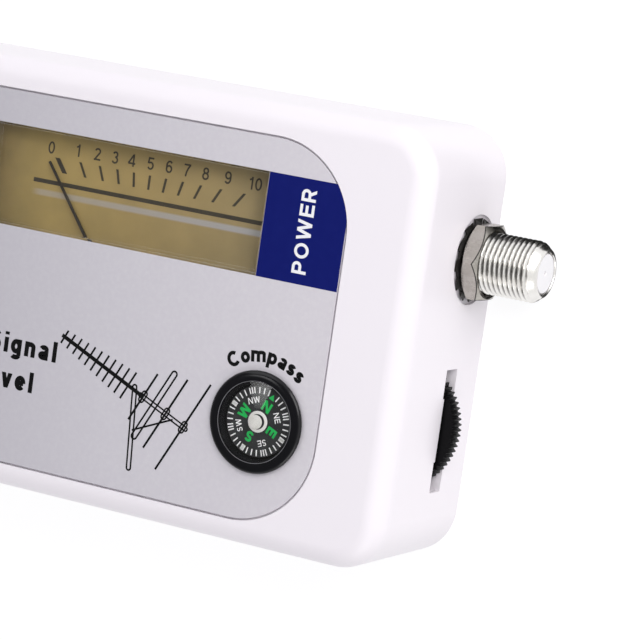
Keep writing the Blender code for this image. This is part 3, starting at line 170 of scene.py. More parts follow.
for name, place, aim, size, power, colour in (
    ("key_box", (0.34, 0.26, 0.42), (0.04, 0, 0.02), 0.30, 1.26, (1.0, 0.985, 0.975)),
    ("fill_box", (-0.30, 0.50, 0.60), (0, 0, 0.02), 0.50, 1.0, (0.965, 0.97, 1.0)),
    ("low_box", (0.30, -0.42, 0.30), (0.03, 0, 0.02), 0.35, 0.62, (1.0, 0.99, 0.98)),
    ("end_box", (0.45, 0.42, 0.16), (0.06, 0, 0.01), 0.35, 0.70, (1.0, 0.99, 0.985)),
):
    lamp = bpy.data.lights.new(name, "AREA")
    lamp.shape, lamp.size, lamp.energy, lamp.color = "SQUARE", size, power, colour
    box = bpy.data.objects.new(name, lamp)
    box.location = place
    box.rotation_euler = (Vector(place) - Vector(aim)).to_track_quat("Z", "Y").to_euler()
    scene.collection.objects.link(box)

# Cards for gloss alone. A black one on the table draws the dark lines of nut and thread, and a
# pale wedge overhead, fading from its far end, draws the soft streak in the compass glass.
CARD_LEVEL, BRIGHT_SPOT = 0.56, (-0.185, 0.085, 0.56)
for name, shade, reach, corners in (
    ("black_card", 0.012, 0, (
        (0.0633, 0.0065, 0), (0.0775, 0.0065, 0), (0.0775, 0.15, 0), (0.0633, 0.15, 0))),
    ("pale_card", 5.2, 0.17, (
        (-0.240, -0.040, CARD_LEVEL), (-0.187, -0.040, CARD_LEVEL),
        (-0.158, 0.078, CARD_LEVEL), (-0.318, 0.078, CARD_LEVEL))),
):
    card_paint, tree, _ = new_material(name)
    card_paint.cycles.emission_sampling = "NONE"
    tree.nodes.clear()
    strength = shade
    if reach:
        away = vector_maths(tree, "DISTANCE", object_place(tree), BRIGHT_SPOT)
        strength = mapped(tree, away, 0.0, reach, shade, 0.0)
    glowing = node(tree, "ShaderNodeEmission", {"Color": (1, 1, 1, 1), "Strength": strength})
    node(tree, "ShaderNodeOutputMaterial", {"Surface": glowing.outputs[0]})
    card_mesh = bpy.data.meshes.new(name)
    card_mesh.from_pydata(corners, [], [(0, 1, 2, 3)])
    card_mesh.materials.append(card_paint)
    gloss_card = bpy.data.objects.new(name, card_mesh)
    gloss_card.visible_camera = gloss_card.visible_diffuse = gloss_card.visible_shadow = False
    gloss_card.visible_volume_scatter = False
    gloss_card.visible_transmission = reach > 0
    scene.collection.objects.link(gloss_card)


# Front shell. One deep injection moulding of white ABS: front face, sides, screw posts and the
# wall beside the battery. Its skin has the faint grain of a polished mould.
def effect(name, *inputs):
    """A shared effect: its group, its inputs' values and the place on the piece."""
    group = bpy.data.node_groups.new(name, "ShaderNodeTree")
    for title, kind, value in inputs:
        group.interface.new_socket(
            title, in_out="INPUT", socket_type=f"NodeSocket{kind}").default_value = value
    for title, kind in (("Colour", "Color"), ("Roughness", "Float"), ("Height", "Float")):
        group.interface.new_socket(title, in_out="OUTPUT", socket_type=f"NodeSocket{kind}")
    return group, node(group, "NodeGroupInput").outputs, object_place(group)


def put_out(group, colour, roughness, height):
    node(group, "NodeGroupOutput", {"Colour": colour, "Roughness": roughness, "Height": height})


def swinging(tree, value, amount):
    """A value between 0 and 1 made a swing to both sides of 0."""
    return maths(tree, "MULTIPLY", maths(tree, "SUBTRACT", value, 0.5), amount)


# Moulded plastic: clouds in the colour, smudges and a fine grain.
MOULDED, given, where = effect(
    "moulded skin", ("Colour", "Color", (0.8, 0.8, 0.8, 1)), ("Clouding", "Float", 0.04),
    ("Roughness", "Float", 0.35), ("Smudges", "Float", 0.08), ("Grain", "Float", 5000.0))
clouds = swinging(MOULDED, noise(MOULDED, where, 55.0, 4.0), given["Clouding"])
wiped = noise(MOULDED, where, 160.0, 6.0, Roughness=0.62, Distortion=0.6)
put_out(
    MOULDED,
    vector_maths(MOULDED, "MULTIPLY", given["Colour"], maths(MOULDED, "ADD", clouds, 1.0)),
    maths(MOULDED, "ADD", swinging(MOULDED, wiped, given["Smudges"]), given["Roughness"]),
    noise(MOULDED, where, given["Grain"], 2.0))


def finished(name, shared, looks, relief=0.0, **plain):
    """A material whose colour, roughness and relief (in mm) come from a shared effect."""
    material, tree, shader = new_material(name)
    skin = node(tree, "ShaderNodeGroup", node_tree=shared)
    for socket, value in looks.items():
        entry = skin.inputs[socket]
        entry.default_value = (*value, 1) if entry.type == "RGBA" else value
    tree.links.new(skin.outputs["Colour"], shader.inputs["Base Color"])
    tree.links.new(skin.outputs["Roughness"], shader.inputs["Roughness"])
    if relief:
        raise_by(tree, skin.outputs["Height"], relief)
    for socket, value in plain.items():
        shader.inputs[socket.replace("_", " ")].default_value = value
    return material


def raise_by(tree, height, relief):
    """A relief in the shader's normal, its depth in mm."""
    raised = node(tree, "ShaderNodeBump", {
        "Height": height, "Strength": 1.0, "Distance": relief * MM})
    tree.links.new(raised.outputs[0], tree.nodes["Principled BSDF"].inputs["Normal"])


def piece(name, bm, material, smooth=35):
    """The object of one piece, from a mesh drawn in millimetres."""
    bmesh.ops.scale(bm, vec=(MM, MM, MM), verts=bm.verts)
    bmesh.ops.recalc_face_normals(bm, faces=bm.faces)
    mesh = bpy.data.meshes.new(name)
    bm.to_mesh(mesh)
    bm.free()
    if material:
        mesh.materials.append(material)
    mesh.shade_smooth()
    mesh.set_sharp_from_angle(angle=math.radians(smooth))
    obj = bpy.data.objects.new(name, mesh)
    scene.collection.objects.link(obj)
    return obj


def settle(item, body, slot, *nodes):
    """Makes a piece ride with a body and hides the nodes that it stands for. Its slot is not used.
    """
    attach(item, body)
    if nodes:
        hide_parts(*nodes)


def bake(obj):
    """Leaves a plain mesh in place of the modifiers."""
    graph = bpy.context.evaluated_depsgraph_get()
    made = bpy.data.meshes.new_from_object(obj.evaluated_get(graph), depsgraph=graph)
    obj.modifiers.clear()
    obj.data = made
    return obj


def carve(obj, *tools, operation="DIFFERENCE"):
    """Cuts tools out of a piece, or joins them to it, and removes them."""
    for cutter in tools:
        step = obj.modifiers.new("cut", "BOOLEAN")
        step.operation, step.solver, step.object = operation, "EXACT", cutter
    bake(obj)
    for cutter in tools:
        bpy.data.objects.remove(cutter)
    return obj


def ease(obj, width, angle=35, segments=2):
    """Rounds the sharp edges of a piece a little, as a mould or a tumbler leaves them."""
    obj.data.shade_smooth()
    round_off = obj.modifiers.new("round_off", "BEVEL")
    round_off.width, round_off.segments = width * MM, segments
    round_off.limit_method, round_off.angle_limit = "ANGLE", math.radians(angle)
    round_off.use_clamp_overlap = True
    bake(obj)
    obj.data.set_sharp_from_angle(angle=math.radians(12))
    even = obj.modifiers.new("even", "WEIGHTED_NORMAL")
    even.keep_sharp, even.weight = True, 60
    return bake(obj)


def rounded(half_x, half_y, corner, steps=14, centre=(0, 0)):
    """A rounded rectangle's corners, anticlockwise."""
    points = []
    for sign_x, sign_y, start in ((1, 1, 0), (-1, 1, 90), (-1, -1, 180), (1, -1, 270)):
        for step in range(steps + 1):
            angle = math.radians(start + 90 * step / steps)
            points.append((
                centre[0] + sign_x * (half_x - corner) + corner * math.cos(angle),
                centre[1] + sign_y * (half_y - corner) + corner * math.sin(angle),
            ))
    return points


def oblong(left, right, bottom, top):
    return [(left, bottom), (right, bottom), (right, top), (left, top)]


def around(radius, centre=(0, 0), steps=64):
    return [
        (centre[0] + radius * math.cos(2 * math.pi * i / steps),
         centre[1] + radius * math.sin(2 * math.pi * i / steps))
        for i in range(steps)
    ]


def stitch(bm, rings, closed=True):
    """Faces between rings of equal count, and from the last to the first where closed."""
    for low, high in zip(rings, rings[1:] + rings[:1] if closed else rings[1:]):
        for i in range(len(low)):
            j = (i + 1) % len(low)
            bm.faces.new((low[i], low[j], high[j], high[i]))


def layered(bm, levels):
    """A solid through outlines of equal count at rising heights, closed at both ends."""
    rings = [[bm.verts.new((x, y, z)) for x, y in outline] for outline, z in levels]
    stitch(bm, rings, closed=False)
    bm.faces.new(list(reversed(rings[0])))
    bm.faces.new(rings[-1])
    return bm


def slab(bm, outline, low, high):
    return layered(bm, [(outline, low), (outline, high)])


def lathe(bm, profile, steps=96, centre=(0, 0), along_x=False):
    """Turns (radius, height) pairs about Z, or about X with the centre given as (y, z)."""
    rings = []
    for radius, height in profile:
        spots = around(radius, centre, steps) if radius else [centre]
        rings.append([
            bm.verts.new((height, u, v) if along_x else (u, v, height)) for u, v in spots
        ])
    pairs = list(zip(rings, rings[1:]))
    if profile[0][0] and profile[-1][0]:
        pairs.append((rings[-1], rings[0]))
    for low, high in pairs:
        for i in range(steps):
            j = (i + 1) % steps
            corners = (low[i % len(low)], low[j % len(low)],
                       high[j % len(high)], high[i % len(high)])
            if len(low) + len(high) > 2:
                bm.faces.new(list(dict.fromkeys(corners)))
    return bm


def flat_piece(name, outline, low, high, material):
    return piece(name, slab(bmesh.new(), outline, low, high), material)


def round_piece(name, profile, material, centre=(0, 0), steps=96, along_x=False):
    return piece(name, lathe(bmesh.new(), profile, steps, centre, along_x), material)


def tool(outline, low, high):
    return flat_piece("tool", outline, low, high, None)


def bore(radius, low, high, centre, steps=96):
    return round_piece("tool", [(0, low), (radius, low), (radius, high), (0, high)], None,
                       centre, steps)


# Places in mm that later pieces share: the middles of compass and thumbwheel seen from the front,
# the socket's axis as (y, z), the screw posts, the window's opening and the label.
MM = 0.001
COMPASS, WHEEL, AXIS = (37.5, -14.05), (52.35, -12.3), (13.8, 7.7)
POSTS = [(x, y) for x in (-24.3, 54.3) for y in (-27.3, 27.3)]
WINDOW, LID_WAY = (-16.5, 34.1, 7.1, 23.4), (-61, -27.6, -25.5, 25.5)
LABEL_HALF_X, LABEL_HALF_Y, LABEL_CORNER, LABEL_MIDDLE, LABEL_GAP = 47.6, 28.7, 13, (0, -0.45), 0.3
CASE_WHITE = finished("case_white", MOULDED, {
    "Colour": (0.885, 0.845, 0.89), "Clouding": 0.015, "Roughness": 0.36, "Smudges": 0.10,
    "Grain": 2600.0}, relief=0.0035)
HALF_X, HALF_Y, CORNER, FRONT, FILLET, FILLET_STEPS = 60, 33.2, 7.7, 27.2, 3.3, 12
WALL, FRONT_WALL, SLOT_FOOT = 2.2, 2.25, 8
insets = [(0.6, 0), (0.15, 0.2), (0, 0.6)]
for step in range(FILLET_STEPS + 1):
    turn = math.radians(90) * step / FILLET_STEPS
    insets.append((FILLET * (1 - math.cos(turn)), FRONT - FILLET * (1 - math.sin(turn))))
shell = piece("case_shell", layered(bmesh.new(), [
    (rounded(HALF_X - inset, HALF_Y - inset, CORNER - inset), z) for inset, z in insets
]), CASE_WHITE)
carve(shell, tool(rounded(HALF_X - WALL, HALF_Y - WALL, CORNER - WALL), -1, FRONT - FRONT_WALL))
posts = bmesh.new()
for spot in POSTS:
    lathe(posts, [(3.2, 2.1), (3.2, 25.4), (1.45, 25.4), (1.45, 2.1)], 32, spot)
carve(shell, piece("posts", posts, None), operation="UNION")
carve(shell, tool(oblong(-27.6, -26.4, -31.4, 20.85), 3.1, 25.4), operation="UNION")
carve(
    shell,
    tool(rounded(LABEL_HALF_X + LABEL_GAP, LABEL_HALF_Y + LABEL_GAP, LABEL_CORNER + LABEL_GAP, 24,
                 LABEL_MIDDLE), 26.45, 28),
    tool(oblong(*WINDOW), 24, FRONT),
    bore(7.1, 24, FRONT, COMPASS),
    round_piece("tool", [(0, 56), (5, 56), (5, 59.5), (6.9, 59.5), (6.9, 61), (0, 61)], None,
                AXIS, along_x=True),
    *(tool(oblong(56.8, 61, low, high), SLOT_FOOT, top) for low, high, top in (
        (-21.74, -2.86, 11.2), (-21.74, -17.0, 11.6), (-7.3, -2.86, 11.65))),
    bore(10.3, SLOT_FOOT, 11.2, WHEEL),
    tool(oblong(*LID_WAY), -1, 2),
    tool(oblong(-61, -27.6, -26.4, 26.4), 0.8, 2),
)
ease(shell, 0.14)
settle(shell, "case", "white_case", "front_shell")


# Meter tray and cup. Moulded in black ABS, open to the front, with four pillars for the dial and
# two press-in white lamps behind it. It hangs under the window's flange.
def dress(material, *names):
    """Gives CAD nodes a material."""
    for name in names:
        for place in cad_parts[name].material_slots:
            place.material = material


TRAY_BLACK = finished("tray_black", MOULDED, {
    "Colour": (0.018, 0.018, 0.02), "Roughness": 0.45, "Smudges": 0.15, "Grain": 4000.0},
    relief=0.006)
LAMP_WHITE = finished("lamp_white", MOULDED, {
    "Colour": (0.86, 0.85, 0.80), "Roughness": 0.3, "Grain": 6000.0}, relief=0.002,
    Subsurface_Weight=0.3, Subsurface_Scale=0.001)
dress(TRAY_BLACK, "meter_tray")
dress(LAMP_WHITE, "dial_lamp_left", "dial_lamp_right")


# Movement. A wire coil turns round a fixed core magnet inside an iron ring, between two brass
# bridges, on steel stems in jewels, and a hairspring brings its black pointer back to 0.
# The shared look of metal: streaks along one direction, stains and fine scratches.
WORKED, given, where = effect(
    "worked metal", ("Colour", "Color", (0.8, 0.8, 0.8, 1)), ("Stain", "Color", (0.5, 0.5, 0.5, 1)),
    ("Staining", "Float", 0.3), ("Roughness", "Float", 0.25),
    ("Streaks", "Vector", (9000.0, 400.0, 400.0)), ("Streaking", "Float", 0.12))
lines = noise(WORKED, vector_maths(WORKED, "MULTIPLY", where, given["Streaks"]), 1.0, 3.0)
patches = mapped(WORKED, noise(WORKED, where, 420.0, 5.0, Roughness=0.6), 0.42, 0.72)
stained = maths(WORKED, "MULTIPLY", patches, given["Staining"])
uneven = maths(WORKED, "ADD", swinging(WORKED, lines, given["Streaking"]),
               maths(WORKED, "MULTIPLY", stained, 0.25))
put_out(
    WORKED, blended(WORKED, stained, given["Colour"], given["Stain"]),
    maths(WORKED, "ADD", uneven, given["Roughness"]), lines)
IRON = finished("soft_iron", WORKED, {
    "Colour": (0.30, 0.30, 0.31), "Stain": (0.12, 0.09, 0.07), "Staining": 0.5, "Roughness": 0.42},
    relief=0.004, Metallic=1.0)
COPPER = finished("copper_wire", WORKED, {
    "Colour": (0.80, 0.36, 0.18), "Stain": (0.40, 0.13, 0.06), "Roughness": 0.28,
    "Streaks": (600.0, 600.0, 9000.0)}, relief=0.02, Metallic=1.0)
BRASS = finished("bridge_brass", WORKED, {
    "Colour": (0.74, 0.55, 0.24), "Stain": (0.42, 0.27, 0.10), "Roughness": 0.26,
    "Streaks": (300.0, 7000.0, 700.0)}, relief=0.003, Metallic=1.0)
STEEL = finished("bright_steel", WORKED, {
    "Colour": (0.62, 0.62, 0.63), "Stain": (0.32, 0.31, 0.30), "Roughness": 0.24,
    "Streaks": (800.0, 800.0, 9000.0)}, relief=0.002, Metallic=1.0)
POINTER_BLACK = finished("pointer_black", MOULDED, {
    "Colour": (0.022, 0.017, 0.013), "Roughness": 0.5, "Grain": 9000.0}, relief=0.003)
dress(IRON, "core_magnet", "yoke_ring")
dress(COPPER, "moving_coil")
dress(BRASS, "front_bridge", "rear_bridge")
dress(STEEL, "upper_stem", "lower_stem", "balance_weight", "hairspring")
dress(POINTER_BLACK, "pointer")
TIN = finished("tin_plate", WORKED, {
    "Colour": (0.70, 0.70, 0.69), "Stain": (0.42, 0.41, 0.38), "Staining": 0.6, "Roughness": 0.3,
    "Streaks": (900.0, 5000.0, 900.0)}, relief=0.003, Metallic=1.0)
dress(TIN, "meter_terminal_left", "meter_terminal_right")


# Dial. An amber card on the tray's pillars, with painted shade that makes it darker and browner at
# its left, where the window's edge shades it, and the scale printed on it in dark brown: a rule,
# ticks from 0 to 10 square to the pointer's arc, numbers.
AMBER, tree, shader = new_material("dial_amber")
where = object_place(tree)
axes = node(tree, "ShaderNodeSeparateXYZ", {0: where}).outputs
across = mapped(tree, axes[0], -0.0165, 0.0345)
# Painted shade: the colour darkens and browns towards the card's left, where the window's edge
# shades it, and goes a little greyer at its right.
amber_with_painted_shade = colour_ramp(tree, across, (
    (0.0, (0.175, 0.120, 0.048)), (0.10, (0.290, 0.212, 0.078)), (0.22, (0.375, 0.272, 0.098)),
    (0.55, (0.360, 0.262, 0.106)), (1.0, (0.312, 0.240, 0.122)),
))
blotch = noise(tree, where, 230.0, 5.0, Roughness=0.55)
mottle = colour_ramp(tree, blotch, ((0.3, (0.90, 0.90, 0.88)), (0.7, (1.08, 1.07, 1.04))))
off_line = maths(tree, "ABSOLUTE", maths(
    tree, "SUBTRACT", axes[1], mapped(tree, across, 0.0, 1.0, 0.01300, 0.01325)))
depth = maths(tree, "DIVIDE", off_line, mapped(tree, across, 0.1, 0.9, 0.00056, 0.00058))
soft = {"interpolation_type": "SMOOTHSTEP"}
band = mapped(tree, depth, 0.45, 1.15, 1.0, 0.0, **soft)
ends = maths(tree, "MULTIPLY", mapped(tree, axes[0], -0.0094, -0.0072, **soft),
             mapped(tree, axes[0], 0.0320, 0.0328, 1.0, 0.0, **soft))
grey_line = maths(tree, "MULTIPLY", maths(tree, "MULTIPLY", ends, band),
                  mapped(tree, across, 0.1, 1.0, 0.40, 0.95))
card_colour = blended(tree, grey_line, blended(tree, 1.0, amber_with_painted_shade, mottle, blend_type="MULTIPLY"),
                      (0.40, 0.39, 0.41, 1))
tree.links.new(card_colour, shader.inputs["Base Color"])
tree.links.new(mapped(tree, blotch, 0.0, 1.0, 0.45, 0.6), shader.inputs["Roughness"])
raise_by(tree, noise(tree, where, 5200.0, 3.0), 0.006)
dress(AMBER, "dial_plate")

# The shared look of ink: uneven density and a slight gloss of its own.
INK, given, where = effect(
    "printed ink", ("Colour", "Color", (0, 0, 0, 1)), ("Thin Colour", "Color", (0.1, 0.1, 0.1, 1)),
    ("Thinness", "Float", 0.2), ("Roughness", "Float", 0.4), ("Mottle", "Float", 900.0))
coat = noise(INK, where, given["Mottle"], 4.0)
thin = mapped(INK, coat, 0.4, 0.75)
put_out(
    INK, blended(INK, maths(INK, "MULTIPLY", thin, given["Thinness"]), given["Colour"],
                 given["Thin Colour"]),
    maths(INK, "ADD", maths(INK, "MULTIPLY", thin, 0.12), given["Roughness"]), coat)
DIAL_INK = finished("dial_ink", INK, {
    "Colour": (0.030, 0.023, 0.016), "Thin Colour": (0.075, 0.058, 0.034), "Thinness": 0.5,
    "Roughness": 0.5, "Mottle": 2600.0})


def copying_tree(name, *inputs):
    """A tree that will set copies of a small mesh on points, with its inputs' values."""
    tree = bpy.data.node_groups.new(name, "GeometryNodeTree")
    for title, kind in (("Geometry", "Geometry"), *inputs, ("Material", "Material")):
        tree.interface.new_socket(title, in_out="INPUT", socket_type=f"NodeSocket{kind}")
    tree.interface.new_socket("Geometry", in_out="OUTPUT", socket_type="NodeSocketGeometry")
    return tree, node(tree, "NodeGroupInput").outputs


def set_out(tree, given, points, **turned):
    """Ends such a tree: real copies in one material."""
    copies = node(tree, "GeometryNodeInstanceOnPoints", {
        "Points": points, "Instance": given["Geometry"], **turned})
    real = node(tree, "GeometryNodeRealizeInstances", {0: copies.outputs[0]})
    coated = node(tree, "GeometryNodeSetMaterial", {
        "Geometry": real.outputs[0], "Material": given["Material"]})
    node(tree, "NodeGroupOutput", {"Geometry": coated.outputs[0]})


ROUND, given = copying_tree(
    "copies round an axis", ("Copies", "Int"), ("First", "Float"), ("Step", "Float"),
    ("Axis", "Vector"), ("Centre", "Vector"))
stepped = maths(ROUND, "MULTIPLY_ADD", node(ROUND, "GeometryNodeInputIndex").outputs[0],
                given["Step"], given["First"])
spots = node(ROUND, "GeometryNodePoints", {
    "Count": given["Copies"], "Position": given["Centre"]})
turned = node(ROUND, "FunctionNodeAxisAngleToRotation", {"Axis": given["Axis"], "Angle": stepped})
set_out(ROUND, given, spots.outputs[0], Rotation=turned.outputs[0])


def multiplied(obj, tree, material, **sizes):
    """Runs a tree on a small piece and bakes all its copies into one plain piece."""
    step = obj.modifiers.new("copies", "NODES")
    step.node_group = tree
    for socket in tree.interface.items_tree:
        if socket.in_out == "INPUT" and socket.name in sizes:
            step[socket.identifier] = sizes[socket.name]
        if socket.in_out == "INPUT" and socket.name == "Material":
            step[socket.identifier] = material
    return bake(obj)


def repeated(name, bm, tree, material, **sizes):
    return multiplied(piece(name, bm, material), tree, material, **sizes)


def bend(cx, cy, rx, ry, start, end, steps=16):
    """Points along part of an ellipse, from one angle to another in degrees."""
    return [
        (cx + rx * math.cos(math.radians(start + (end - start) * i / steps)),
         cy + ry * math.sin(math.radians(start + (end - start) * i / steps)))
        for i in range(steps + 1)
    ]


def alphabet(m):
    """Plain sans letters as (width, strokes) for a cap height of 1 and strokes of half width m."""
    top, small = 1 - m, 0.73 - m
    hook = bend(0.30, 0.60, 0.29 - m, 0.40 - m, 38, 180) + [(0.01 + m, 0.32)]
    six = [bend(0.285, 0.325, 0.275 - m, 0.325 - m, 0, 360, 24), hook]
    bowl = [(m, top), (0.36, top)]
    bowl += bend(0.36, (top + 0.45) / 2, 0.27 - m, (top - 0.45) / 2, 90, -90) + [(m, 0.45)]
    stem = [(m, 0), (m, 1)]
    return {
        "0": (0.56, [bend(0.28, 0.5, 0.28 - m, 0.5 - m, 0, 360, 28)]),
        "1": (0.36, [[(0.27, 0), (0.27, 1)], [(0.27, 0.93), (0.19, 0.82), (0.05, 0.75)]]),
        "2": (0.55, [bend(0.275, 0.73, 0.265 - m, 0.27 - m, 168, -32) + [(0.03 + m, m + 0.03)],
                     [(0, m), (0.55, m)]]),
        "3": (0.55, [bend(0.26, (top + 0.53) / 2, 0.245 - m, (top - 0.53) / 2, 160, -90),
                     bend(0.26, (0.53 + m) / 2, 0.275 - m, (0.53 - m) / 2, 90, -160)]),
        "4": (0.58, [[(0.42, 0), (0.42, 1)], [(0.41, 0.97), (0.03, 0.27)],
                     [(0, 0.25), (0.58, 0.25)]]),
        "5": (0.55, [[(0.11, top), (0.50, top)], [(0.125, 1), (0.07, 0.50)],
                     bend(0.265, 0.335, 0.275 - m, 0.335 - m, 138, -155)]),
        "6": (0.56, six),
        "7": (0.55, [[(0, top), (0.54, top)],
                     [(0.50, top), (0.34, 0.66), (0.23, 0.34), (0.18, 0)]]),
        "8": (0.56, [bend(0.28, (top + 0.54) / 2, 0.245 - m, (top - 0.54) / 2, 0, 360, 24),
                     bend(0.28, (0.54 + m) / 2, 0.28 - m, (0.54 - m) / 2, 0, 360, 24)]),
        "9": (0.56, [[(0.56 - x, 1 - y) for x, y in line] for line in six]),
        "P": (0.63, [stem, bowl]),
        "R": (0.66, [stem, bowl, [(0.34, 0.45), (0.62 - m, 0)]]),
        "O": (0.78, [bend(0.39, 0.5, 0.39 - m, 0.5 - m, 0, 360, 32)]),
        "W": (1.02, [[(m, 1), (0.27, 0)], [(0.27, 0), (0.51, 1)], [(0.51, 1), (0.75, 0)],
                     [(0.75, 0), (1.02 - m, 1)]]),
        "E": (0.60, [stem, [(m, top), (0.59, top)], [(m, 0.52), (0.55, 0.52)],
                     [(m, m), (0.60, m)]]),
        "N": (0.72, [stem, [(0.72 - m, 0), (0.72 - m, 1)], [(m, 1), (0.72 - m, 0)]]),
        "S": (0.62, [bend(0.31, (top + 0.52) / 2, 0.285 - m, (top - 0.52) / 2, 25, 270)
                     + bend(0.31, (0.52 + m) / 2, 0.30 - m, (0.52 - m) / 2, 90, -158)[1:]]),
        "C": (0.76, [bend(0.40, 0.5, 0.39 - m, 0.5 - m, 44, 316, 28)]),
        "o": (0.58, [bend(0.29, 0.365, 0.29 - m, 0.365 - m, 0, 360, 24)]),
        "m": (0.90, [[(m, 0), (m, 0.73)],
                     bend((m + 0.45) / 2, 0.52, (0.45 - m) / 2, 0.21 - m, 175, 0, 10) + [(0.45, 0)],
                     bend((1.35 - m) / 2, 0.52, (0.45 - m) / 2, 0.21 - m, 175, 0, 10)
                     + [(0.90 - m, 0)]]),
        "n": (0.56, [[(m, 0), (m, 0.73)],
                     bend(0.28, 0.49, 0.28 - m, 0.24 - m, 175, 0, 10) + [(0.56 - m, 0)]]),
        "p": (0.60, [[(m, -0.27), (m, 0.73)], bend(0.31, 0.365, 0.29 - m, 0.365 - m, 0, 360, 24)]),
        "g": (0.58, [bend(0.29, 0.375, 0.28 - m, 0.355 - m, 0, 360, 24),
                     [(0.57 - m, 0.73), (0.57 - m, -0.06)],
                     bend(0.29, -0.06, 0.28 - m, 0.21 - m, 0, -155)]),
        "a": (0.57, [bend(0.28, 0.51, 0.25 - m, 0.22 - m, 165, 0, 12) + [(0.53 - m, 0)],
                     bend(0.26, 0.215, 0.25 - m, 0.215 - m, 0, 360, 20)]),
        "s": (0.55, [bend(0.275, (small + 0.37) / 2, 0.255 - m, (small - 0.37) / 2, 25, 270)
                     + bend(0.275, (0.37 + m) / 2, 0.27 - m, (0.37 - m) / 2, 90, -158)[1:]]),
        "e": (0.57, [bend(0.285, 0.365, 0.285 - m, 0.365 - m, 0, 318, 24),
                     [(m, 0.365), (0.57 - m, 0.365)]]),
        "i": (0.20, [[(m, 0), (m, 0.73)], [(m, 0.85), (m, 1)]]),
        "l": (0.20, [[(m, 0), (m, 1)]]),
        "v": (0.56, [[(m, 0.73), (0.28, 0)], [(0.28, 0), (0.56 - m, 0.73)]]),
    }


def ribbon(bm, line, half, low, high):
    """A flat stroke of even width along points, run into a ring where they come back."""
    points = [Vector(point) for point in line]
    closed = (points[0] - points[-1]).length < 1e-6
    if closed:
        points.pop()
    rows = []
    for i, point in enumerate(points):
        ways = []
        if closed or i:
            ways.append((point - points[i - 1]).normalized())
        if closed or i < len(points) - 1:
            ways.append((points[(i + 1) % len(points)] - point).normalized())
        way = sum(ways, Vector((0, 0))).normalized()
        across = Vector((-way.y, way.x))
        reach = half / max(0.76, abs(way.dot(ways[0])))
        left, right = point + across * reach, point - across * reach
        rows.append([bm.verts.new((*spot, z)) for spot, z in (
            (left, low), (right, low), (right, high), (left, high))])
    stitch(bm, rows, closed)
    if not closed:
        bm.faces.new(rows[0])
        bm.faces.new(list(reversed(rows[-1])))


def lettering(bm, words, place, cap, weight, level, turn=0.0, stretch=1.0, gap=0.14, align=0.5):
    """Prints words at a place: cap height in mm, stroke weight and gaps as shares of it."""
    drawn = alphabet(weight / 2)
    length = sum(drawn[letter][0] * stretch + gap for letter in words) - gap
    cos, sin = math.cos(math.radians(turn)), math.sin(math.radians(turn))
    along = -align * length
    for letter in words:
        width, strokes = drawn[letter]
        for number, line in enumerate(strokes):
            spots = [((along + x * stretch) * cap, y * cap) for x, y in line]
            if len(spots) == 2:
                (u, v), (u_end, v_end) = spots
                steep = abs(v_end - v) > abs(u_end - u)
                half = weight * cap / 2 * math.dist(*spots) / max(abs(v_end - v), abs(u_end - u))
                side = (half, 0) if steep else (0, half)
                spots = [(u - side[0], v - side[1]), (u_end - side[0], v_end - side[1]),
                         (u_end + side[0], v_end + side[1]), (u + side[0], v + side[1])]
            placed = [
                (place[0] + u * cos - v * sin, place[1] + u * sin + v * cos) for u, v in spots]
            low, high = level - 0.005, level + 0.012 + 0.002 * number
            if len(line) == 2:
                slab(bm, placed, low, high)
            else:
                ribbon(bm, placed, weight * cap / 2, low, high)
        along += width * stretch + gap


PIVOT, DIAL_INK_LEVELS = (10.9, -3.65), (22.695, 22.715)
TICK_FOOT, TICK_TOP, TICK_STEP, TICKS_FROM_PIVOT = 16.55, 18.75, 7.32, 0.72
scale_print = bmesh.new()
slab(scale_print, oblong(-8.9, 32.2, 14.50, 15.15), *DIAL_INK_LEVELS)
for number, spot in enumerate((
    (-6.4, 19.2), (-1.6, 19.5), (1.95, 19.5), (5.15, 19.5), (8.15, 19.58), (11.5, 19.6),
    (14.75, 19.65), (17.95, 19.65), (21.2, 19.65), (25.1, 19.7), (29.85, 19.55),
)):
    lettering(scale_print, str(number), spot, 1.92, 0.145, 22.7, stretch=1.12, gap=0.16)
settle(piece("dial_print", scale_print, DIAL_INK), "case", "dial")
for name, first, count, half in (
    ("dial_zero_tick", 36.75, 1, 0.36), ("dial_ticks", 29.25, 10, 0.20),
):
    tick_print = bmesh.new()
    for k in range(count):
        angle = math.radians(first - TICK_STEP * k)
        half_x = half / math.cos(angle)
        slab(tick_print, [
            (PIVOT[0] + TICKS_FROM_PIVOT - math.tan(angle) * (y - PIVOT[1]) + side * half_x, y)
            for side, y in ((-1, TICK_FOOT), (1, TICK_FOOT), (1, TICK_TOP), (-1, TICK_TOP))
        ], *DIAL_INK_LEVELS)
    settle(piece(name, tick_print, DIAL_INK), "case", "dial")

# Window. One clear acrylic moulding, whose flange sits under the shell and whose raised field
# comes up through the label's opening. Its cut edges catch the light.
ACRYLIC, tree, shader = new_material("clear_acrylic")
for socket, value in (
    ("Base Color", (0.985, 0.99, 0.985, 1)), ("Transmission Weight", 1.0), ("IOR", 1.45),
    ("Metallic", 0.0),
):
    shader.inputs[socket].default_value = value
wiped = noise(tree, object_place(tree), 140.0, 6.0, Distortion=0.8)
tree.links.new(mapped(tree, wiped, 0.35, 0.8, 0.0, 0.02), shader.inputs["Roughness"])
let_by = node(tree, "ShaderNodeBsdfTransparent", {"Color": (0.96, 0.96, 0.95, 1)})
mixed = node(tree, "ShaderNodeMixShader", {
    0: node(tree, "ShaderNodeLightPath").outputs["Is Shadow Ray"], 1: shader.outputs[0],
    2: let_by.outputs[0]})
tree.links.new(mixed.outputs[0], tree.nodes["Material Output"].inputs["Surface"])
pane = flat_piece("window_pane", oblong(-15.9, 33.5, 7.7, 22.8), 24.3, 26.7, ACRYLIC)
carve(pane, tool(rounded(27.0, 9.85, 0.8, 6, (8.8, 15.25)), 24.0, 24.65), operation="UNION")
ease(pane, 0.12)
settle(pane, "case", "clear", "meter_window")

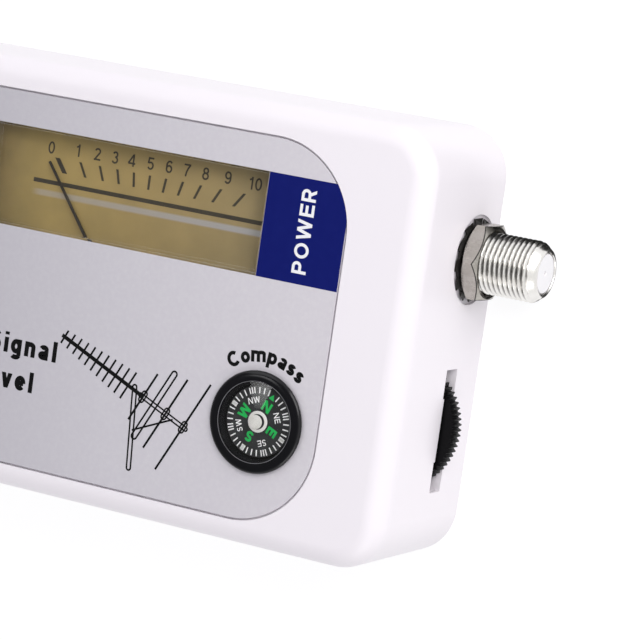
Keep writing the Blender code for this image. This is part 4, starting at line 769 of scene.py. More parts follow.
# Front label. A silver-grey polyester overlay, stuck in a shallow recess round window and
# compass and printed in blue, black and white.
LABEL_SILVER = finished("label_silver", INK, {
    "Colour": (0.56, 0.54, 0.585), "Thin Colour": (0.60, 0.585, 0.62), "Thinness": 0.6,
    "Roughness": 0.33, "Mottle": 1500.0}, relief=0.0015)


def recoloured(material, change):
    """Puts a change between a finished material's effect and its base colour."""
    tree = material.node_tree
    effect_colour = next(n for n in tree.nodes if n.type == "GROUP").outputs["Colour"]
    tree.links.new(change(tree, effect_colour), tree.nodes["Principled BSDF"].inputs["Base Color"])


# Painted light: the film's colour brightens from its left to its right, standing in for the light
# that falls more on its right.
def brighter_to_the_right(tree, colour):
    print_x = node(tree, "ShaderNodeSeparateXYZ", {0: object_place(tree)}).outputs[0]
    painted_light = colour_ramp(tree, mapped(tree, print_x, -0.018, 0.045), (
        (0.0, (0.89, 0.89, 0.90)), (0.45, (1.03, 1.03, 1.03)), (1.0, (1.15, 1.14, 1.13))))
    return blended(tree, 1.0, colour, painted_light, blend_type="MULTIPLY")


recoloured(LABEL_SILVER, brighter_to_the_right)
PANEL_BLUE = finished("panel_blue", INK, {
    "Colour": (0.0012, 0.006, 0.130), "Thin Colour": (0.003, 0.009, 0.148), "Thinness": 0.5,
    "Roughness": 0.42, "Mottle": 700.0}, Specular_IOR_Level=0.15)
LABEL_BLACK = finished("label_black", INK, {
    "Colour": (0.003, 0.003, 0.0035), "Thin Colour": (0.012, 0.012, 0.013), "Thinness": 0.3,
    "Roughness": 0.35, "Mottle": 1800.0}, Specular_IOR_Level=0.2)
LABEL_WHITE = finished("label_white", INK, {
    "Colour": (0.88, 0.88, 0.90), "Thin Colour": (0.70, 0.72, 0.80), "Thinness": 0.3,
    "Roughness": 0.35, "Mottle": 1800.0})
LABEL_TOP, INK_FOOT, INK_TOP = 27.1, 27.095, 27.112
overlay = flat_piece(
    "label_film", rounded(LABEL_HALF_X, LABEL_HALF_Y, LABEL_CORNER, 28, LABEL_MIDDLE),
    26.75, LABEL_TOP, LABEL_SILVER)
carve(overlay, tool(oblong(-16.2, 33.8, 7.4, 23.1), 26, 28), bore(7.1, 26, 28, COMPASS))
ease(overlay, 0.05)
settle(overlay, "case", "label", "front_label")

panel = flat_piece("power_panel", oblong(33.86, 47.55, 7.4, 23.1), INK_FOOT, INK_TOP, PANEL_BLUE)
settle(panel, "case", "label")
power = bmesh.new()
lettering(power, "POWER", (42.05, 15.3), 2.42, 0.19, INK_TOP, turn=90, stretch=1.27, gap=0.15)
settle(piece("power_word", power, LABEL_WHITE), "case", "label")


def by_compass(radius, bearing):
    """A spot at a radius and a bearing from the compass's centre."""
    a = math.radians(bearing)
    return (COMPASS[0] + radius * math.sin(a), COMPASS[1] + radius * math.cos(a))


compass_word = bmesh.new()
for letter, bearing in zip("Compass", (-32.4, -20.6, -7.6, 6.2, 17.1, 26.7, 36.6)):
    lettering(compass_word, letter, by_compass(8.95, bearing), 2.35, 0.235, LABEL_TOP,
              turn=-bearing, stretch=1.24)
settle(piece("compass_word", compass_word, LABEL_BLACK), "case", "label")

caption = bmesh.new()
for word, spot in (("Signal", (1.35, -12.1)), ("level", (-2.2, -17.6))):
    lettering(caption, word, spot, 3.2, 0.235, LABEL_TOP, stretch=1.14, gap=0.15, align=1.0)
settle(piece("level_words", caption, LABEL_BLACK), "case", "label")


aerial = bmesh.new()
LEVEL_STEP, level_now = 0.0004, [INK_TOP]


def stroke(start, end, width):
    """A printed line, laid a hair above the last, so that crossings stay clean."""
    level_now[0] += LEVEL_STEP
    along = (Vector(end) - Vector(start)).normalized()
    across = Vector((-along.y, along.x)) * width / 2
    slab(aerial, [tuple(Vector(spot) + across * side) for spot, side in (
        (start, -1), (end, -1), (end, 1), (start, 1))], INK_FOOT, level_now[0])


def outlined(start, end, width, line=0.25):
    """A tube drawn as a closed outline."""
    level_now[0] += LEVEL_STEP
    way = (Vector(end) - Vector(start)).normalized()
    turn = math.degrees(math.atan2(way.y, way.x))
    path = bend(*end, width / 2, width / 2, turn - 90, turn + 90, 8)
    path += bend(*start, width / 2, width / 2, turn + 90, turn + 270, 8)
    ribbon(aerial, path + path[:1], line / 2, INK_FOOT, level_now[0])


boom_start, boom_end = Vector((2.0, -7.6)), Vector((25.6, -17.6))
lean = Vector((0.46, 0.888)).normalized()
stroke(boom_start, boom_start.lerp(boom_end, 0.66), 0.62)
outlined(boom_start.lerp(boom_end, 0.64), boom_end, 0.62)
for index in range(11):
    spot = boom_start.lerp(boom_end, 0.02 + 0.052 * index)
    reach = 1.2 + 0.13 * index
    stroke(spot - lean * reach, spot + lean * reach, 0.32)
for share, reach in ((0.66, 4.4), (0.84, 6.6), (0.98, 8.2)):
    spot = boom_start.lerp(boom_end, share)
    stroke(spot - lean * reach, spot + lean * reach, 0.34)
    outlined(spot - lean * 0.55, spot + lean * 0.55, 0.85)
dipole = boom_start.lerp(boom_end, 0.75)
outlined(dipole - lean * 6.0, dipole + lean * 6.0, 0.9, 0.28)
mast_top = boom_start.lerp(boom_end, 0.59)
outlined(mast_top + Vector((0, 0.5)), (mast_top.x + 0.8, -25.4), 0.7, 0.27)
stroke((mast_top.x + 0.5, -19.6), boom_start.lerp(boom_end, 0.90), 0.28)
settle(piece("aerial_picture", aerial, LABEL_BLACK), "case", "label")

# Compass. A black glossy capsule pressed through the label, with a black card printed in white
# and green that turns on a steel pin under a crowned acrylic lens.
GLOSS_BLACK = finished("gloss_black", MOULDED, {
    "Colour": (0.006, 0.006, 0.0075), "Roughness": 0.13, "Smudges": 0.12, "Grain": 3000.0},
    relief=0.001, Specular_IOR_Level=0.32)
capsule = round_piece("compass_capsule", [
    (0, 19.7), (6.5, 19.7), (6.8, 20.0), (6.8, 27.4), (7.6, 27.4), (7.75, 27.5), (7.75, 27.66),
    (7.66, 27.84), (7.46, 27.98), (7.15, 28.07), (6.8, 28.1), (6.25, 28.1), (6.12, 28.08),
    (6.08, 28.02), (6.1, 27.97), (6.25, 27.95), (6.25, 27.1), (5.75, 27.1), (5.75, 20.7), (0, 20.7),
], GLOSS_BLACK, COMPASS, 128)
settle(capsule, "case", "black_gloss", "compass_housing")
glass_profile = [(0, 27.9)]
glass_profile += [(0.6 * step, 27.9 - 0.3 * (0.6 * step / 5.95) ** 2) for step in range(1, 10)]
glass_profile += [(5.95, 27.6), (6.2, 27.6), (6.2, 27.92), (6.05, 27.94)]
glass_profile += [(r, 27.94 + 0.51 * (1 - (r / 6.05) ** 2))
                  for r in (5.9, 5.6, 5.1, 4.5, 3.9, 3.3, 2.7, 2.1, 1.5, 0.9, 0.4)]
glass_profile.append((0, 28.45))
LENS_CLEAR = ACRYLIC.copy()
LENS_CLEAR.name = "lens_clear"
LENS_CLEAR.node_tree.nodes["Principled BSDF"].inputs["Specular IOR Level"].default_value = 0.9
lens_piece = round_piece("compass_glass", glass_profile, LENS_CLEAR, COMPASS, 128)
# Painted highlight: a thin grey ring laid on the lens's rim stands in for the light line that its
# edge catches.
LENS_RIM_PAINTED_HIGHLIGHT = finished("lens_rim_painted_highlight", INK, {
    "Colour": (0.16, 0.16, 0.17), "Thin Colour": (0.05, 0.05, 0.055), "Thinness": 0.8,
    "Roughness": 0.2, "Mottle": 400.0})
rim_highlight_ring = round_piece("compass_glass_painted_highlight", [
    (6.10, 28.095), (6.20, 28.095), (6.20, 28.112), (6.10, 28.112)], LENS_RIM_PAINTED_HIGHLIGHT, COMPASS, 128)
settle(rim_highlight_ring, "case", "clear")
settle(lens_piece, "case", "clear", "compass_lens")

NORTH, CARD_TOP = 24.6, 26.65
CARD_INK = (CARD_TOP - 0.005, CARD_TOP + 0.015)
CARD_BLACK = finished("card_black", INK, {
    "Colour": (0.010, 0.010, 0.012), "Thin Colour": (0.030, 0.030, 0.036), "Thinness": 0.8,
    "Roughness": 0.42, "Mottle": 500.0}, relief=0.001)
CARD_WHITE = finished("card_white", INK, {
    "Colour": (0.95, 0.95, 0.96), "Thin Colour": (0.80, 0.80, 0.81), "Thinness": 0.4,
    "Roughness": 0.45, "Mottle": 2500.0})
CARD_GREEN = finished("card_green", INK, {
    "Colour": (0.0, 0.46, 0.08), "Thin Colour": (0.0, 0.33, 0.06), "Thinness": 0.4,
    "Roughness": 0.45, "Mottle": 2500.0})
card = round_piece("compass_disc", [
    (0.75, 26.35), (5.25, 26.35), (5.3, 26.4), (5.3, 26.6), (5.25, CARD_TOP), (0.75, CARD_TOP),
], CARD_BLACK, COMPASS)
settle(card, "compass_rose", "black_gloss", "compass_card")
centre_m = (COMPASS[0] * MM, COMPASS[1] * MM, 0)
for name, count, first, step, half, rim in (
    ("card_ticks", 35, 10, 10, 0.095, 5.15), ("card_half_ticks", 4, 45, 90, 0.095, 5.15),
    ("card_quarter_marks", 3, 90, 90, 0.33, 5.1),
):
    mark = slab(bmesh.new(), oblong(-half, half, 4.2, rim), *CARD_INK)
    ring_of_marks = repeated(
        name, mark, ROUND, CARD_WHITE, Copies=count, First=-math.radians(NORTH + first),
        Step=-math.radians(step), Axis=(0, 0, 1), Centre=centre_m)
    settle(ring_of_marks, "compass_rose", "white_plastic")
greens, whites = bmesh.new(), bmesh.new()
for letter, bearing in (("N", 0), ("E", 90), ("S", 180), ("W", 270)):
    lettering(greens, letter, by_compass(1.85, NORTH + bearing), 1.65, 0.225, CARD_TOP,
              turn=-NORTH - bearing, stretch=1.3)
a = math.radians(NORTH)
slab(greens, [
    (COMPASS[0] + x * math.cos(a) + y * math.sin(a), COMPASS[1] - x * math.sin(a) + y * math.cos(a))
    for x, y in ((-0.5, 3.95), (0.5, 3.95), (0, 4.85))
], *CARD_INK)
for word, bearing in (("NE", 45), ("SE", 135), ("SW", 225), ("NW", 315)):
    lettering(whites, word, by_compass(2.75, NORTH + bearing), 0.94, 0.145, CARD_TOP,
              turn=-NORTH - bearing, stretch=1.12, gap=0.16)
for name, bm, material in (("card_green_letters", greens, CARD_GREEN),
                           ("card_white_letters", whites, CARD_WHITE)):
    settle(piece(name, bm, material), "compass_rose", "white_plastic")
HUB_WHITE = finished("hub_white", MOULDED, {
    "Colour": (0.86, 0.84, 0.83), "Roughness": 0.25, "Grain": 5000.0}, relief=0.001)
HUB_METAL = finished("hub_metal", WORKED, {
    "Colour": (0.86, 0.84, 0.82), "Stain": (0.62, 0.60, 0.57), "Staining": 0.7, "Roughness": 0.34,
    "Streaks": (900.0, 900.0, 900.0)}, relief=0.002, Metallic=0.35)
for name, profile, material, nodes in (
    ("compass_hub_base", [
        (0, 25.45), (0.45, 25.45), (0.45, 26.66), (1.52, 26.66), (1.6, 26.72), (1.6, 26.78),
        (1.52, 26.84), (0, 26.84)], HUB_WHITE, ["compass_cap"]),
    # Painted shade: the neck is black, standing in for the shade in the groove between base and
    # cap.
    ("compass_hub_neck_painted_shade", [
        (0, 26.83), (1.14, 26.83), (1.14, 26.87), (0.6, 26.9), (0.6, 27.3), (0, 27.3)],
        CARD_BLACK, []),
    ("compass_hub_cap", [
        (0, 27.3), (0.98, 27.3), (1.06, 27.37), (1.06, 27.5), (0.98, 27.58), (0.75, 27.6),
        (0, 27.6)], HUB_METAL, []),
):
    hub_part = round_piece(name, profile, material, COMPASS, 64)
    settle(hub_part, "compass_rose", "white_plastic", *nodes)
dress(STEEL, "compass_magnet", "compass_pin")

# Circuit board and its parts. Green fibreglass with etched tracks, two chips on tinned legs, two
# crimped capacitors, a row of chip resistors, and a tin-plate box that screens the amplifier.
GRID, given = copying_tree(
    "copies on a grid", ("Width", "Float"), ("Depth", "Float"), ("Columns", "Int"), ("Rows", "Int"),
    ("Centre", "Vector"))
spots = node(GRID, "GeometryNodeMeshGrid", {
    "Size X": given["Width"], "Size Y": given["Depth"],
    "Vertices X": given["Columns"], "Vertices Y": given["Rows"]})
set_out(GRID, given, node(GRID, "GeometryNodeSetPosition", {
    "Geometry": spots.outputs[0], "Offset": given["Centre"]}).outputs[0])
BOARD, tree, shader = new_material("board_green")
cells = node(tree, "ShaderNodeTexVoronoi", {
    "Vector": object_place(tree), "Scale": 260.0, "Randomness": 0.75},
    feature="DISTANCE_TO_EDGE", distance="EUCLIDEAN")
tracks = mapped(tree, cells.outputs[0], 0.05, 0.07, 1.0, 0.0)
tree.links.new(blended(tree, tracks, (0.012, 0.10, 0.035, 1), (0.03, 0.22, 0.07, 1)),
               shader.inputs["Base Color"])
shader.inputs["Roughness"].default_value = 0.35
raise_by(tree, tracks, 0.03)
CHIP_BLACK = finished("chip_black", MOULDED, {
    "Colour": (0.02, 0.02, 0.021), "Roughness": 0.6, "Grain": 9000.0}, relief=0.006)
ALUMINIUM = finished("can_aluminium", WORKED, {
    "Colour": (0.78, 0.78, 0.78), "Stain": (0.6, 0.6, 0.6), "Roughness": 0.3}, Metallic=1.0)
dress(BOARD, "circuit_board", "amplifier_board")
dress(TIN, "amplifier_can", "amplifier_lid")


def leg_pair(bm, face_y, centre):
    """Two bent tin legs, one on each side of a chip."""
    shape = ((-0.3, 6.5), (0.3, 6.5), (0.55, 6.3), (0.62, 5.6), (0.75, 5.5), (1.15, 5.48),
             (1.15, 5.33), (0.65, 5.33), (0.45, 5.45), (0.38, 6.15), (0.25, 6.32), (-0.3, 6.32))
    for side in (-1, 1):
        ends = [
            [bm.verts.new((centre[0] + x, centre[1] + side * (face_y + y), z)) for y, z in shape]
            for x in (-0.2, 0.2)
        ]
        stitch(bm, ends, closed=False)
        bm.faces.new(ends[0])
        bm.faces.new(list(reversed(ends[1])))
    return bm


for name, stands_for, (x, y), (half_x, half_y), top, legs, width in (
    ("driver_chip", "meter_driver_chip", (-8.95, -4.8), (4.3, 1.95), 7.2, 7, 7.62),
    ("regulator_chip", "voltage_regulator", (-8.95, -13.2), (2.25, 2.25), 7.1, 3, 3.0),
):
    chip = piece(name, layered(bmesh.new(), [
        (oblong(x - half_x + inset, x + half_x - inset, y - half_y + inset, y + half_y - inset), z)
        for inset, z in ((0.12, 5.65), (0, 6.4), (0.14, top))]), CHIP_BLACK)
    carve(chip, bore(0.35, top - 0.12, 8, (x - half_x + 0.9, y - half_y + 0.9), steps=24))
    ease(chip, 0.05)
    settle(chip, "case", "black_plastic", stands_for)
    pins = repeated(f"{name}_legs", leg_pair(bmesh.new(), half_y, (0, y)), GRID, TIN,
                    Width=width * MM, Depth=0.0, Columns=legs, Rows=1, Centre=(x * MM, 0, 0))
    settle(pins, "case", "tin")

two_cans = {"Width": 8.0 * MM, "Depth": 0.0, "Columns": 2, "Rows": 1,
            "Centre": (14.2 * MM, -19 * MM, 0)}
can = lathe(bmesh.new(), [
    (0, 5.9), (1.85, 5.9), (2.0, 6.0), (2.0, 6.35), (1.86, 6.47), (1.86, 6.58), (2.0, 6.7),
    (2.0, 8.02), (1.93, 8.15), (1.8, 8.2), (0, 8.2)], 40)
settle(repeated("capacitor_cans", can, GRID, ALUMINIUM, **two_cans),
       "case", "aluminium", "capacitor_1", "capacitor_2")
for name, outline, low, high in (
    ("capacitor_bases", [
        (-2.1, -2.1), (2.1, -2.1), (2.1, 1.4), (1.4, 2.1), (-1.4, 2.1), (-2.1, 1.4)], 5.34, 5.92),
    ("capacitor_marks", [
        (-1.75, 0.5), *bend(0, 0, 1.8, 1.8, 165, 15, 12), (1.75, 0.5)], 8.19, 8.215),
):
    flat = slab(bmesh.new(), outline, low, high)
    settle(repeated(name, flat, GRID, CHIP_BLACK, **two_cans), "case", "black_plastic")
for name, half_x, low, high, material, slot in (
    ("chip_resistors", 0.72, 5.36, 5.84, CHIP_BLACK, "black_plastic"),
    ("chip_resistor_ends", 1.0, 5.33, 5.80, TIN, "tin"),
):
    resistor = slab(bmesh.new(), oblong(-half_x, half_x, -0.62, 0.62), low, high)
    settle(repeated(name, resistor, GRID, material, Width=10 * MM, Depth=12 * MM, Columns=3, Rows=4,
                    Centre=(27.0 * MM, -3.0 * MM, 0)), "case", slot)


def cross_headed(name, profile, recess, low, high):
    """A turned screw with a cross recess cut between two heights."""
    screw = round_piece(name, profile, STEEL, steps=40)
    return carve(screw, tool(oblong(-recess, recess, -0.3, 0.3), low, high),
                 tool(oblong(-0.3, 0.3, -recess, recess), low, high))


board_screws = multiplied(cross_headed("board_screws", [
    (0, 1.1), (0.6, 1.3), (0.88, 1.8), (0.88, 5.62), (1.9, 5.62), (1.9, 6.2), (1.65, 6.6),
    (1.0, 6.78), (0, 6.8)], 1.1, 6.1, 7.5), GRID, STEEL, Width=48.3 * MM, Depth=38 * MM,
    Columns=2, Rows=2, Centre=(8.85 * MM, 0, 0))
settle(board_screws, "case", "steel", *(f"board_screw_{number}" for number in range(1, 5)))

# Thumbwheel control. A black knurled wheel stands out of its slot and turns a brass wiper over a
# carbon track in the control's body, held by a steel screw.
WHEEL_BLACK = finished("wheel_black", MOULDED, {
    "Colour": (0.002, 0.002, 0.0025), "Roughness": 0.45, "Smudges": 0.2, "Grain": 4000.0},
    relief=0.004, Specular_IOR_Level=0.12)
TRACK_BROWN = finished("track_brown", INK, {
    "Colour": (0.05, 0.03, 0.02), "Thin Colour": (0.10, 0.06, 0.04), "Roughness": 0.55})
KNURLS, KNURL_FOOT, KNURL_HEIGHT = 74, 9.5, 0.5
KNURL_SHAPE = (0.0, 0.12, 0.5, 0.88, 1.0, 0.88, 0.5, 0.12)


def knurled(inset):
    points = []
    for i in range(KNURLS * len(KNURL_SHAPE)):
        angle = 2 * math.pi * (i + 0.5) / (KNURLS * len(KNURL_SHAPE))
        reach = KNURL_FOOT + KNURL_HEIGHT * KNURL_SHAPE[i % len(KNURL_SHAPE)] - inset
        points.append((WHEEL[0] + math.cos(angle) * reach, WHEEL[1] + math.sin(angle) * reach))
    return points


wheel = piece("gain_thumbwheel", layered(bmesh.new(), [
    (knurled(inset), z) for inset, z in ((0.12, 8.4), (0, 8.52), (0, 10.68), (0.12, 10.8))
]), WHEEL_BLACK)
carve(wheel, bore(1.6, 8, 11, WHEEL))
settle(wheel, "gain_wheel", "black_plastic", "thumbwheel")
dress(TRAY_BLACK, "control_body")
dress(TRACK_BROWN, "resistor_track")
dress(BRASS, "wiper")
dress(STEEL, "wheel_screw")

# Socket. A nickel-plated coaxial connector with a 3/8-32 thread, turned from bar, with a white
# insulator and a brass contact, clamped in the end wall by a toothed washer and a hexagon nut.
NICKEL = finished("nickel_plate", WORKED, {
    "Colour": (0.82, 0.805, 0.78), "Stain": (0.52, 0.50, 0.47), "Staining": 0.35, "Roughness": 0.20,
    "Streaks": (9000.0, 250.0, 250.0), "Streaking": 0.10}, relief=0.0015, Metallic=1.0)


def darker_in_the_thread(tree, colour):
    """Grime and painted shade in the grooves, up to where the thread ends."""
    where = object_place(tree)
    from_axis = vector_maths(tree, "SUBTRACT", where, (0, AXIS[0] * MM, AXIS[1] * MM))
    radius = vector_maths(tree, "LENGTH", vector_maths(tree, "MULTIPLY", from_axis, (0, 1, 1)))
    along = node(tree, "ShaderNodeSeparateXYZ", {0: where}).outputs[0]
    # Painted shade and grime: the colour falls to about a third in the thread's roots.
    clean_and_lit = maths(tree, "MAXIMUM", mapped(tree, radius, 0.00430, 0.00449, 0.34, 1.0),
                  mapped(tree, along, 0.0700, 0.0705))
    return vector_maths(tree, "MULTIPLY", colour, clean_and_lit)


recoloured(NICKEL, darker_in_the_thread)
NUT_NICKEL = finished("nut_nickel", WORKED, {
    "Colour": (0.44, 0.42, 0.385), "Stain": (0.30, 0.275, 0.24), "Staining": 0.5, "Roughness": 0.24,
    "Streaks": (500.0, 2500.0, 6000.0), "Streaking": 0.15}, relief=0.003, Metallic=1.0)
# Painted shade: this steel is made near-black, standing in for the shade in the gap between nut and
# end wall where the lock washer sits.
STEEL_PAINTED_SHADE = finished("dark_steel", WORKED, {
    "Colour": (0.035, 0.033, 0.031), "Stain": (0.015, 0.014, 0.013), "Staining": 0.6,
    "Roughness": 0.4}, relief=0.004, Metallic=0.5)
PITCH, CREST, ROOT, SIDES, STEPS_EACH = 0.794, 4.7, 4.28, 128, 16
THREAD_START, THREAD_END = 60.0, 70.9


def thread_radius(x, share):
    """The thread's radius at a place along it and a share of a turn, faded in at its start."""
    phase = ((x - THREAD_START) / PITCH - share) % 1
    rise = max(0.0, min(1.0, (0.478 - abs(phase - 0.5)) / 0.44))
    fade = min(1.0, (x - THREAD_START) / 0.4)
    chamfer = 4.72 - 0.60 * max(0.0, x - 70.3)
    return min(ROOT + (CREST - ROOT) * rise * fade, chamfer)


profile = [(0.75, 50.1), (1.3, 50.1), (1.3, 55.9), (5.5, 55.9), (5.6, 56.0), (5.6, 57.4),
           (5.5, 57.5), (ROOT, 57.5), (ROOT, THREAD_START)]
thread_length = THREAD_END - THREAD_START
steps_along = int(thread_length / PITCH * STEPS_EACH)
profile += [(None, THREAD_START + thread_length * step / steps_along)
            for step in range(1, steps_along)]
profile += [(4.27, THREAD_END), (3.86, 71.5), (3.68, 71.74), (3.5, 71.86), (3.32, 71.9),
            (3.2, 71.86), (3.13, 71.75), (3.13, 71.45), (3.35, 71.3), (3.35, 58.7), (0.75, 58.7)]
turned = bmesh.new()
rings = []
for radius, x in profile:
    rings.append([])
    for i in range(SIDES):
        angle = 2 * math.pi * i / SIDES
        reach = radius or thread_radius(x, i / SIDES)
        rings[-1].append(turned.verts.new((
            x, AXIS[0] + reach * math.cos(angle), AXIS[1] + reach * math.sin(angle))))
stitch(turned, rings)
body = piece("socket_body", turned, NICKEL, smooth=22)
settle(body, "case", "nickel", "socket_barrel")

HALF_FLATS, NUT_FACE, NUT_BORE, NUT_STEPS, NUT_CHAMFER = 5.6, 5.45, 4.85, 144, math.radians(32)
NUT_NEAR, NUT_FAR = 60.4, 63.05


def six_sided(section):
    """A ring round the socket, its section given by how far the flats and their chamfer reach."""
    bm, rings = bmesh.new(), None
    for i in range(NUT_STEPS):
        angle = 2 * math.pi * i / NUT_STEPS
        corner = HALF_FLATS / math.cos((angle % math.radians(60)) - math.radians(30))
        spots = section(corner, (corner - NUT_FACE) * math.tan(NUT_CHAMFER))
        rings = rings or [[] for _ in spots]
        for ring, (x, reach) in zip(rings, spots):
            ring.append(bm.verts.new((
                x, AXIS[0] + reach * math.sin(angle), AXIS[1] + reach * math.cos(angle))))
    stitch(bm, rings)
    return bm


nut_piece = piece("socket_hex_nut", six_sided(lambda corner, drop: (
    (NUT_NEAR, NUT_BORE), (NUT_NEAR, NUT_FACE), (NUT_NEAR + drop, corner), (NUT_FAR - drop, corner),
    (NUT_FAR, NUT_FACE), (NUT_FAR, NUT_BORE + 0.25), (NUT_FAR - 0.25, NUT_BORE))),
    NUT_NICKEL, smooth=20)
settle(nut_piece, "case", "nickel", "socket_nut")
# Painted dark reflection: a near-black line along the nut's outer chamfer edge.
painted_chamfer_line = six_sided(lambda corner, drop: (
    (NUT_FAR - drop - 0.08, corner - 0.05), (NUT_FAR - drop - 0.08, corner + 0.006),
    (NUT_FAR - drop, corner + 0.010), (NUT_FAR - drop + 0.07, corner - 0.10),
    (NUT_FAR - drop + 0.04, corner - 0.16)))
settle(piece("nut_chamfer_painted_line", painted_chamfer_line, STEEL_PAINTED_SHADE), "case", "dark_steel")

# The lock washer's ring and teeth take that near-black steel as painted shade.
washer_ring = round_piece("washer_ring", [
    (5.0, 59.72), (5.6, 59.72), (5.6, 60.12), (5.0, 60.12)], STEEL_PAINTED_SHADE, AXIS, along_x=True)
tooth = bmesh.new()
inner, outer = (
    [tooth.verts.new((x, y, z)) for x, y in outline] for outline, z in (
        (((-0.17, -0.95), (-0.17, 0.95), (0.17, 0.95), (0.17, -0.95)), 5.5),
        (((-0.28, -1.0), (0.08, 1.0), (0.26, 1.0), (-0.10, -1.0)), 6.33)))
stitch(tooth, [inner, outer], closed=False)
tooth.faces.new(inner)
tooth.faces.new(list(reversed(outer)))
teeth_piece = repeated(
    "washer_teeth", tooth, ROUND, STEEL_PAINTED_SHADE, Copies=12, First=0.1, Step=math.radians(30),
    Axis=(1, 0, 0), Centre=(59.95 * MM, AXIS[0] * MM, AXIS[1] * MM))
settle(washer_ring, "case", "dark_steel", "lock_washer")
settle(teeth_piece, "case", "dark_steel")

PTFE = finished("insulator_white", MOULDED, {
    "Colour": (0.95, 0.94, 0.96), "Clouding": 0.03, "Roughness": 0.4, "Grain": 3000.0},
    relief=0.002)
insulator = round_piece("socket_core", [
    (0.75, 59.0), (3.05, 59.0), (3.3, 59.2), (3.3, 71.2), (3.02, 71.28), (3.02, 71.6),
    (2.94, 71.7), (0.44, 71.7), (0.36, 71.6), (0.36, 71.0), (0.75, 70.9)], PTFE, AXIS,
    along_x=True)
settle(insulator, "case", "white_plastic", "socket_insulator")
dress(BRASS, "socket_contact")

# Battery, its snap and leads. A nine-volt block in a printed steel jacket, crimped over a black
# plate at each end, lies across the case. A soft black snap takes its studs, and red and black
# leads run from there to the board.
JACKET = finished("battery_jacket", WORKED, {
    "Colour": (0.06, 0.075, 0.11), "Stain": (0.035, 0.04, 0.06), "Staining": 0.4, "Roughness": 0.32,
    "Streaks": (300.0, 2500.0, 300.0)}, relief=0.001, Metallic=0.7)
BAND_SILVER = finished("battery_band", WORKED, {
    "Colour": (0.62, 0.63, 0.65), "Stain": (0.45, 0.46, 0.48), "Staining": 0.3, "Roughness": 0.30,
    "Streaks": (300.0, 2500.0, 300.0)}, relief=0.001, Metallic=0.8)
SNAP_BLACK = finished("snap_vinyl", MOULDED, {
    "Colour": (0.016, 0.016, 0.017), "Roughness": 0.5, "Smudges": 0.2, "Grain": 2500.0},
    relief=0.012)
RED_LEAD = finished("red_lead", MOULDED, {
    "Colour": (0.42, 0.012, 0.01), "Roughness": 0.4}, relief=0.002)
BLACK_LEAD = finished("black_lead", MOULDED, {
    "Colour": (0.015, 0.015, 0.016), "Roughness": 0.4}, relief=0.002)


def lying(name, bm, material):
    """A piece drawn standing on the battery's foot, laid along Y where the battery lies."""
    laid = Matrix.Translation((-41.25, 0, 11.85)) @ Matrix.Rotation(math.radians(-90), 4, "X")
    bmesh.ops.transform(bm, matrix=laid, verts=bm.verts)
    return piece(name, bm, material)


def block(inset):
    return rounded(13.25 - inset, 8.75 - inset, 1.5 - 0.6 * inset, 6)


jacket = lying("battery_block", layered(bmesh.new(), [
    (block(inset), y) for inset, y in (
        (1.0, -25.1), (1.0, -25.42), (0.85, -25.55), (0.25, -25.55), (0.05, -25.45), (0, -25.2),
        (0, 20.5), (0.05, 20.75), (0.25, 20.85), (0.85, 20.85), (1.0, 20.72), (1.0, 20.4))
]), JACKET)
settle(jacket, "case", "battery", "battery")
settle(lying("battery_silver_band", layered(bmesh.new(), [
    (block(-0.012), 5.0), (block(-0.012), 20.2)]), BAND_SILVER), "case", "battery")
for name, low, high in (("battery_foot_plate", -25.3, -25.0), ("battery_top_plate", 20.3, 20.6)):
    settle(lying(name, layered(bmesh.new(), [(block(1.03), low), (block(1.03), high)]), CHIP_BLACK),
           "case", "battery")
studs = lathe(bmesh.new(), [
    (0, 20.5), (2.7, 20.5), (2.7, 20.9), (2.35, 21.1), (2.35, 22.4), (2.65, 22.8), (2.5, 23.15),
    (1.2, 23.2), (1.0, 22.6), (0, 22.6)], 48, (-6.35, 0))
lathe(studs, [
    (2.0, 20.5), (3.55, 20.5), (3.55, 20.9), (3.2, 21.1), (3.2, 22.5), (3.55, 22.9), (3.45, 23.2),
    (2.95, 23.2), (2.75, 22.6), (2.75, 20.9), (2.0, 20.85)], 48, (6.35, 0))
settle(lying("battery_studs", studs, TIN), "case", "tin")
marks = bmesh.new()
for outline in (oblong(-49.2, -46.0, 16.1, 16.9), oblong(-48.0, -47.2, 14.9, 18.1),
                oblong(-36.5, -33.3, 16.1, 16.9)):
    slab(marks, outline, 3.06, 3.12)
settle(piece("battery_polarity_marks", marks, LABEL_BLACK), "case", "battery")

snap_levels = []
for inset, y in ((0.25, 21.15), (0, 21.35), (0, 24.6), (0.15, 24.95), (0.5, 25.2)):
    snap_levels.append((rounded(12.45 - inset, 6 - inset, 1.5 - 0.5 * inset, 6), y))
snap = lying("battery_snap_cap", layered(bmesh.new(), snap_levels), SNAP_BLACK)
ribs = bmesh.new()
for x in (-3.0, -1.0, 1.0, 3.0):
    slab(ribs, oblong(x - 0.4, x + 0.4, -4.2, 4.2), 24.9, 25.5)
sockets = lathe(lathe(bmesh.new(), [(0, 20), (3.0, 20), (3.0, 23.55), (0, 23.55)], 48, (-6.35, 0)),
                [(0, 20), (3.9, 20), (3.9, 23.55), (0, 23.55)], 48, (6.35, 0))
carve(snap, lying("ribs", ribs, None), operation="UNION")
carve(snap, lying("sockets", sockets, None))
settle(snap, "case", "black_plastic", "battery_snap")
dress(RED_LEAD, "lead_red")
dress(BLACK_LEAD, "lead_black")

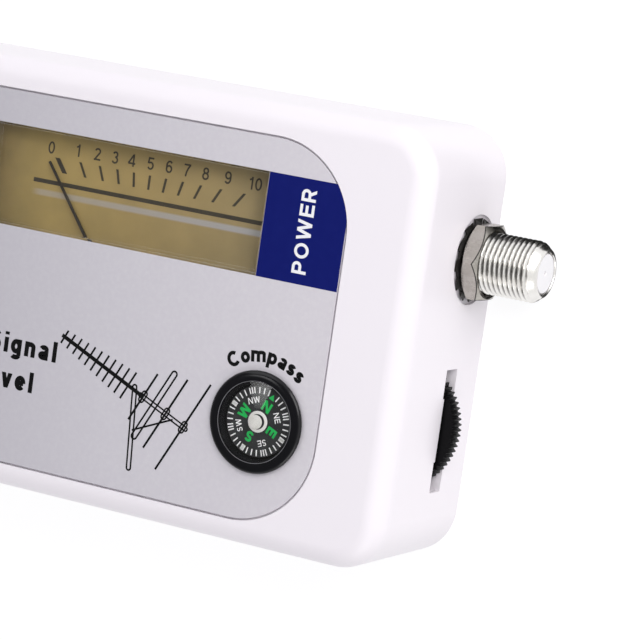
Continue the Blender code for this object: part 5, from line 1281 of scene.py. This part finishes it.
# Back plate. Let in between the shell's sides, with a T-shaped way and two rails for the lid,
# four pillars for the board, and sunk seats for four cross-headed steel screws.
BACK_WHITE = finished("back_white", MOULDED, {
    "Colour": (0.885, 0.845, 0.89), "Clouding": 0.02, "Roughness": 0.5, "Smudges": 0.12,
    "Grain": 1500.0}, relief=0.012)
PILLARS = [(x, y) for x in (-15.3, 33.0) for y in (-19, 19)]
back = piece("back_plate", layered(bmesh.new(), [
    (rounded(57.5 - inset, 30.7 - inset, 5.2 - inset), z)
    for inset, z in ((0.25, 0), (0, 0.2), (0, 1.8))]), BACK_WHITE)
rails = bmesh.new()
for low, high in ((24.6, 29.0), (-29.0, -24.6)):
    slab(rails, oblong(-52.0, -27.9, low, high), 1.7, 2.8)
for spot in PILLARS:
    slab(rails, around(2.6, spot, 32), 1.7, 3.4)
carve(back, piece("rails", rails, None), operation="UNION")
holes = bmesh.new()
sunk_seat = [(0, -1), (2.75, -1), (2.75, 0), (2.65, 0.16), (1.45, 1.4), (1.45, 4), (0, 4)]
for spot in POSTS:
    lathe(holes, sunk_seat, 40, spot)
for spot in PILLARS:
    lathe(holes, [(0, 0.8), (1.2, 0.8), (1.2, 5), (0, 5)], 32, spot)
carve(back, piece("holes", holes, None), tool(oblong(*LID_WAY), -1, 2),
      tool(oblong(-61, -27.6, -26.7, 26.7), 0.8, 2))
ease(back, 0.1)
settle(back, "case", "white_case", "rear_cover")

# Battery lid. It slides out along -X on two tongues. Five grooves and an arrow near its free end
# show the thumb where and which way to push.
lid = piece("sliding_lid", layered(bmesh.new(), [
    (oblong(-59.4, -28.0, -25.05, 25.05), 0), (oblong(-59.85, -27.9, -25.2, 25.2), 0.2),
    (oblong(-60, -27.9, -25.2, 25.2), 0.6), (oblong(-60, -27.9, -25.2, 25.2), 1.7)]), BACK_WHITE)
carve(lid, tool(oblong(-52.3, -28.2, -26.1, 26.1), 1.1, 1.55), operation="UNION")
carve(lid, *(tool(oblong(-55 + 1.8 * k, -54.2 + 1.8 * k, -8, 8), -1, 0.4) for k in range(5)),
      tool([(-44.4, 0), (-41.6, -2.7), (-41.6, 2.7)], -1, 0.3))
ease(lid, 0.1)
settle(lid, "lid", "white_case", "battery_lid")

# Case screws. Four countersunk steel screws with a coarse thread hold the back plate to the
# shell's posts.
coarse_thread = [(1.0 if k % 2 else 1.3, 2.0 + 0.45 * k) for k in range(17)]
case_screws = multiplied(cross_headed("case_screws", [
    (0, 0.15), (2.3, 0.15), (2.4, 0.24), (1.15, 1.35), *coarse_thread, (0.7, 10.2), (0, 10.65),
], 1.4, -1, 0.85), GRID, STEEL, Width=78.6 * MM, Depth=54.6 * MM, Columns=2, Rows=2,
    Centre=(15 * MM, 0, 0))
settle(case_screws, "case", "steel", *(f"case_screw_{number}" for number in range(1, 5)))
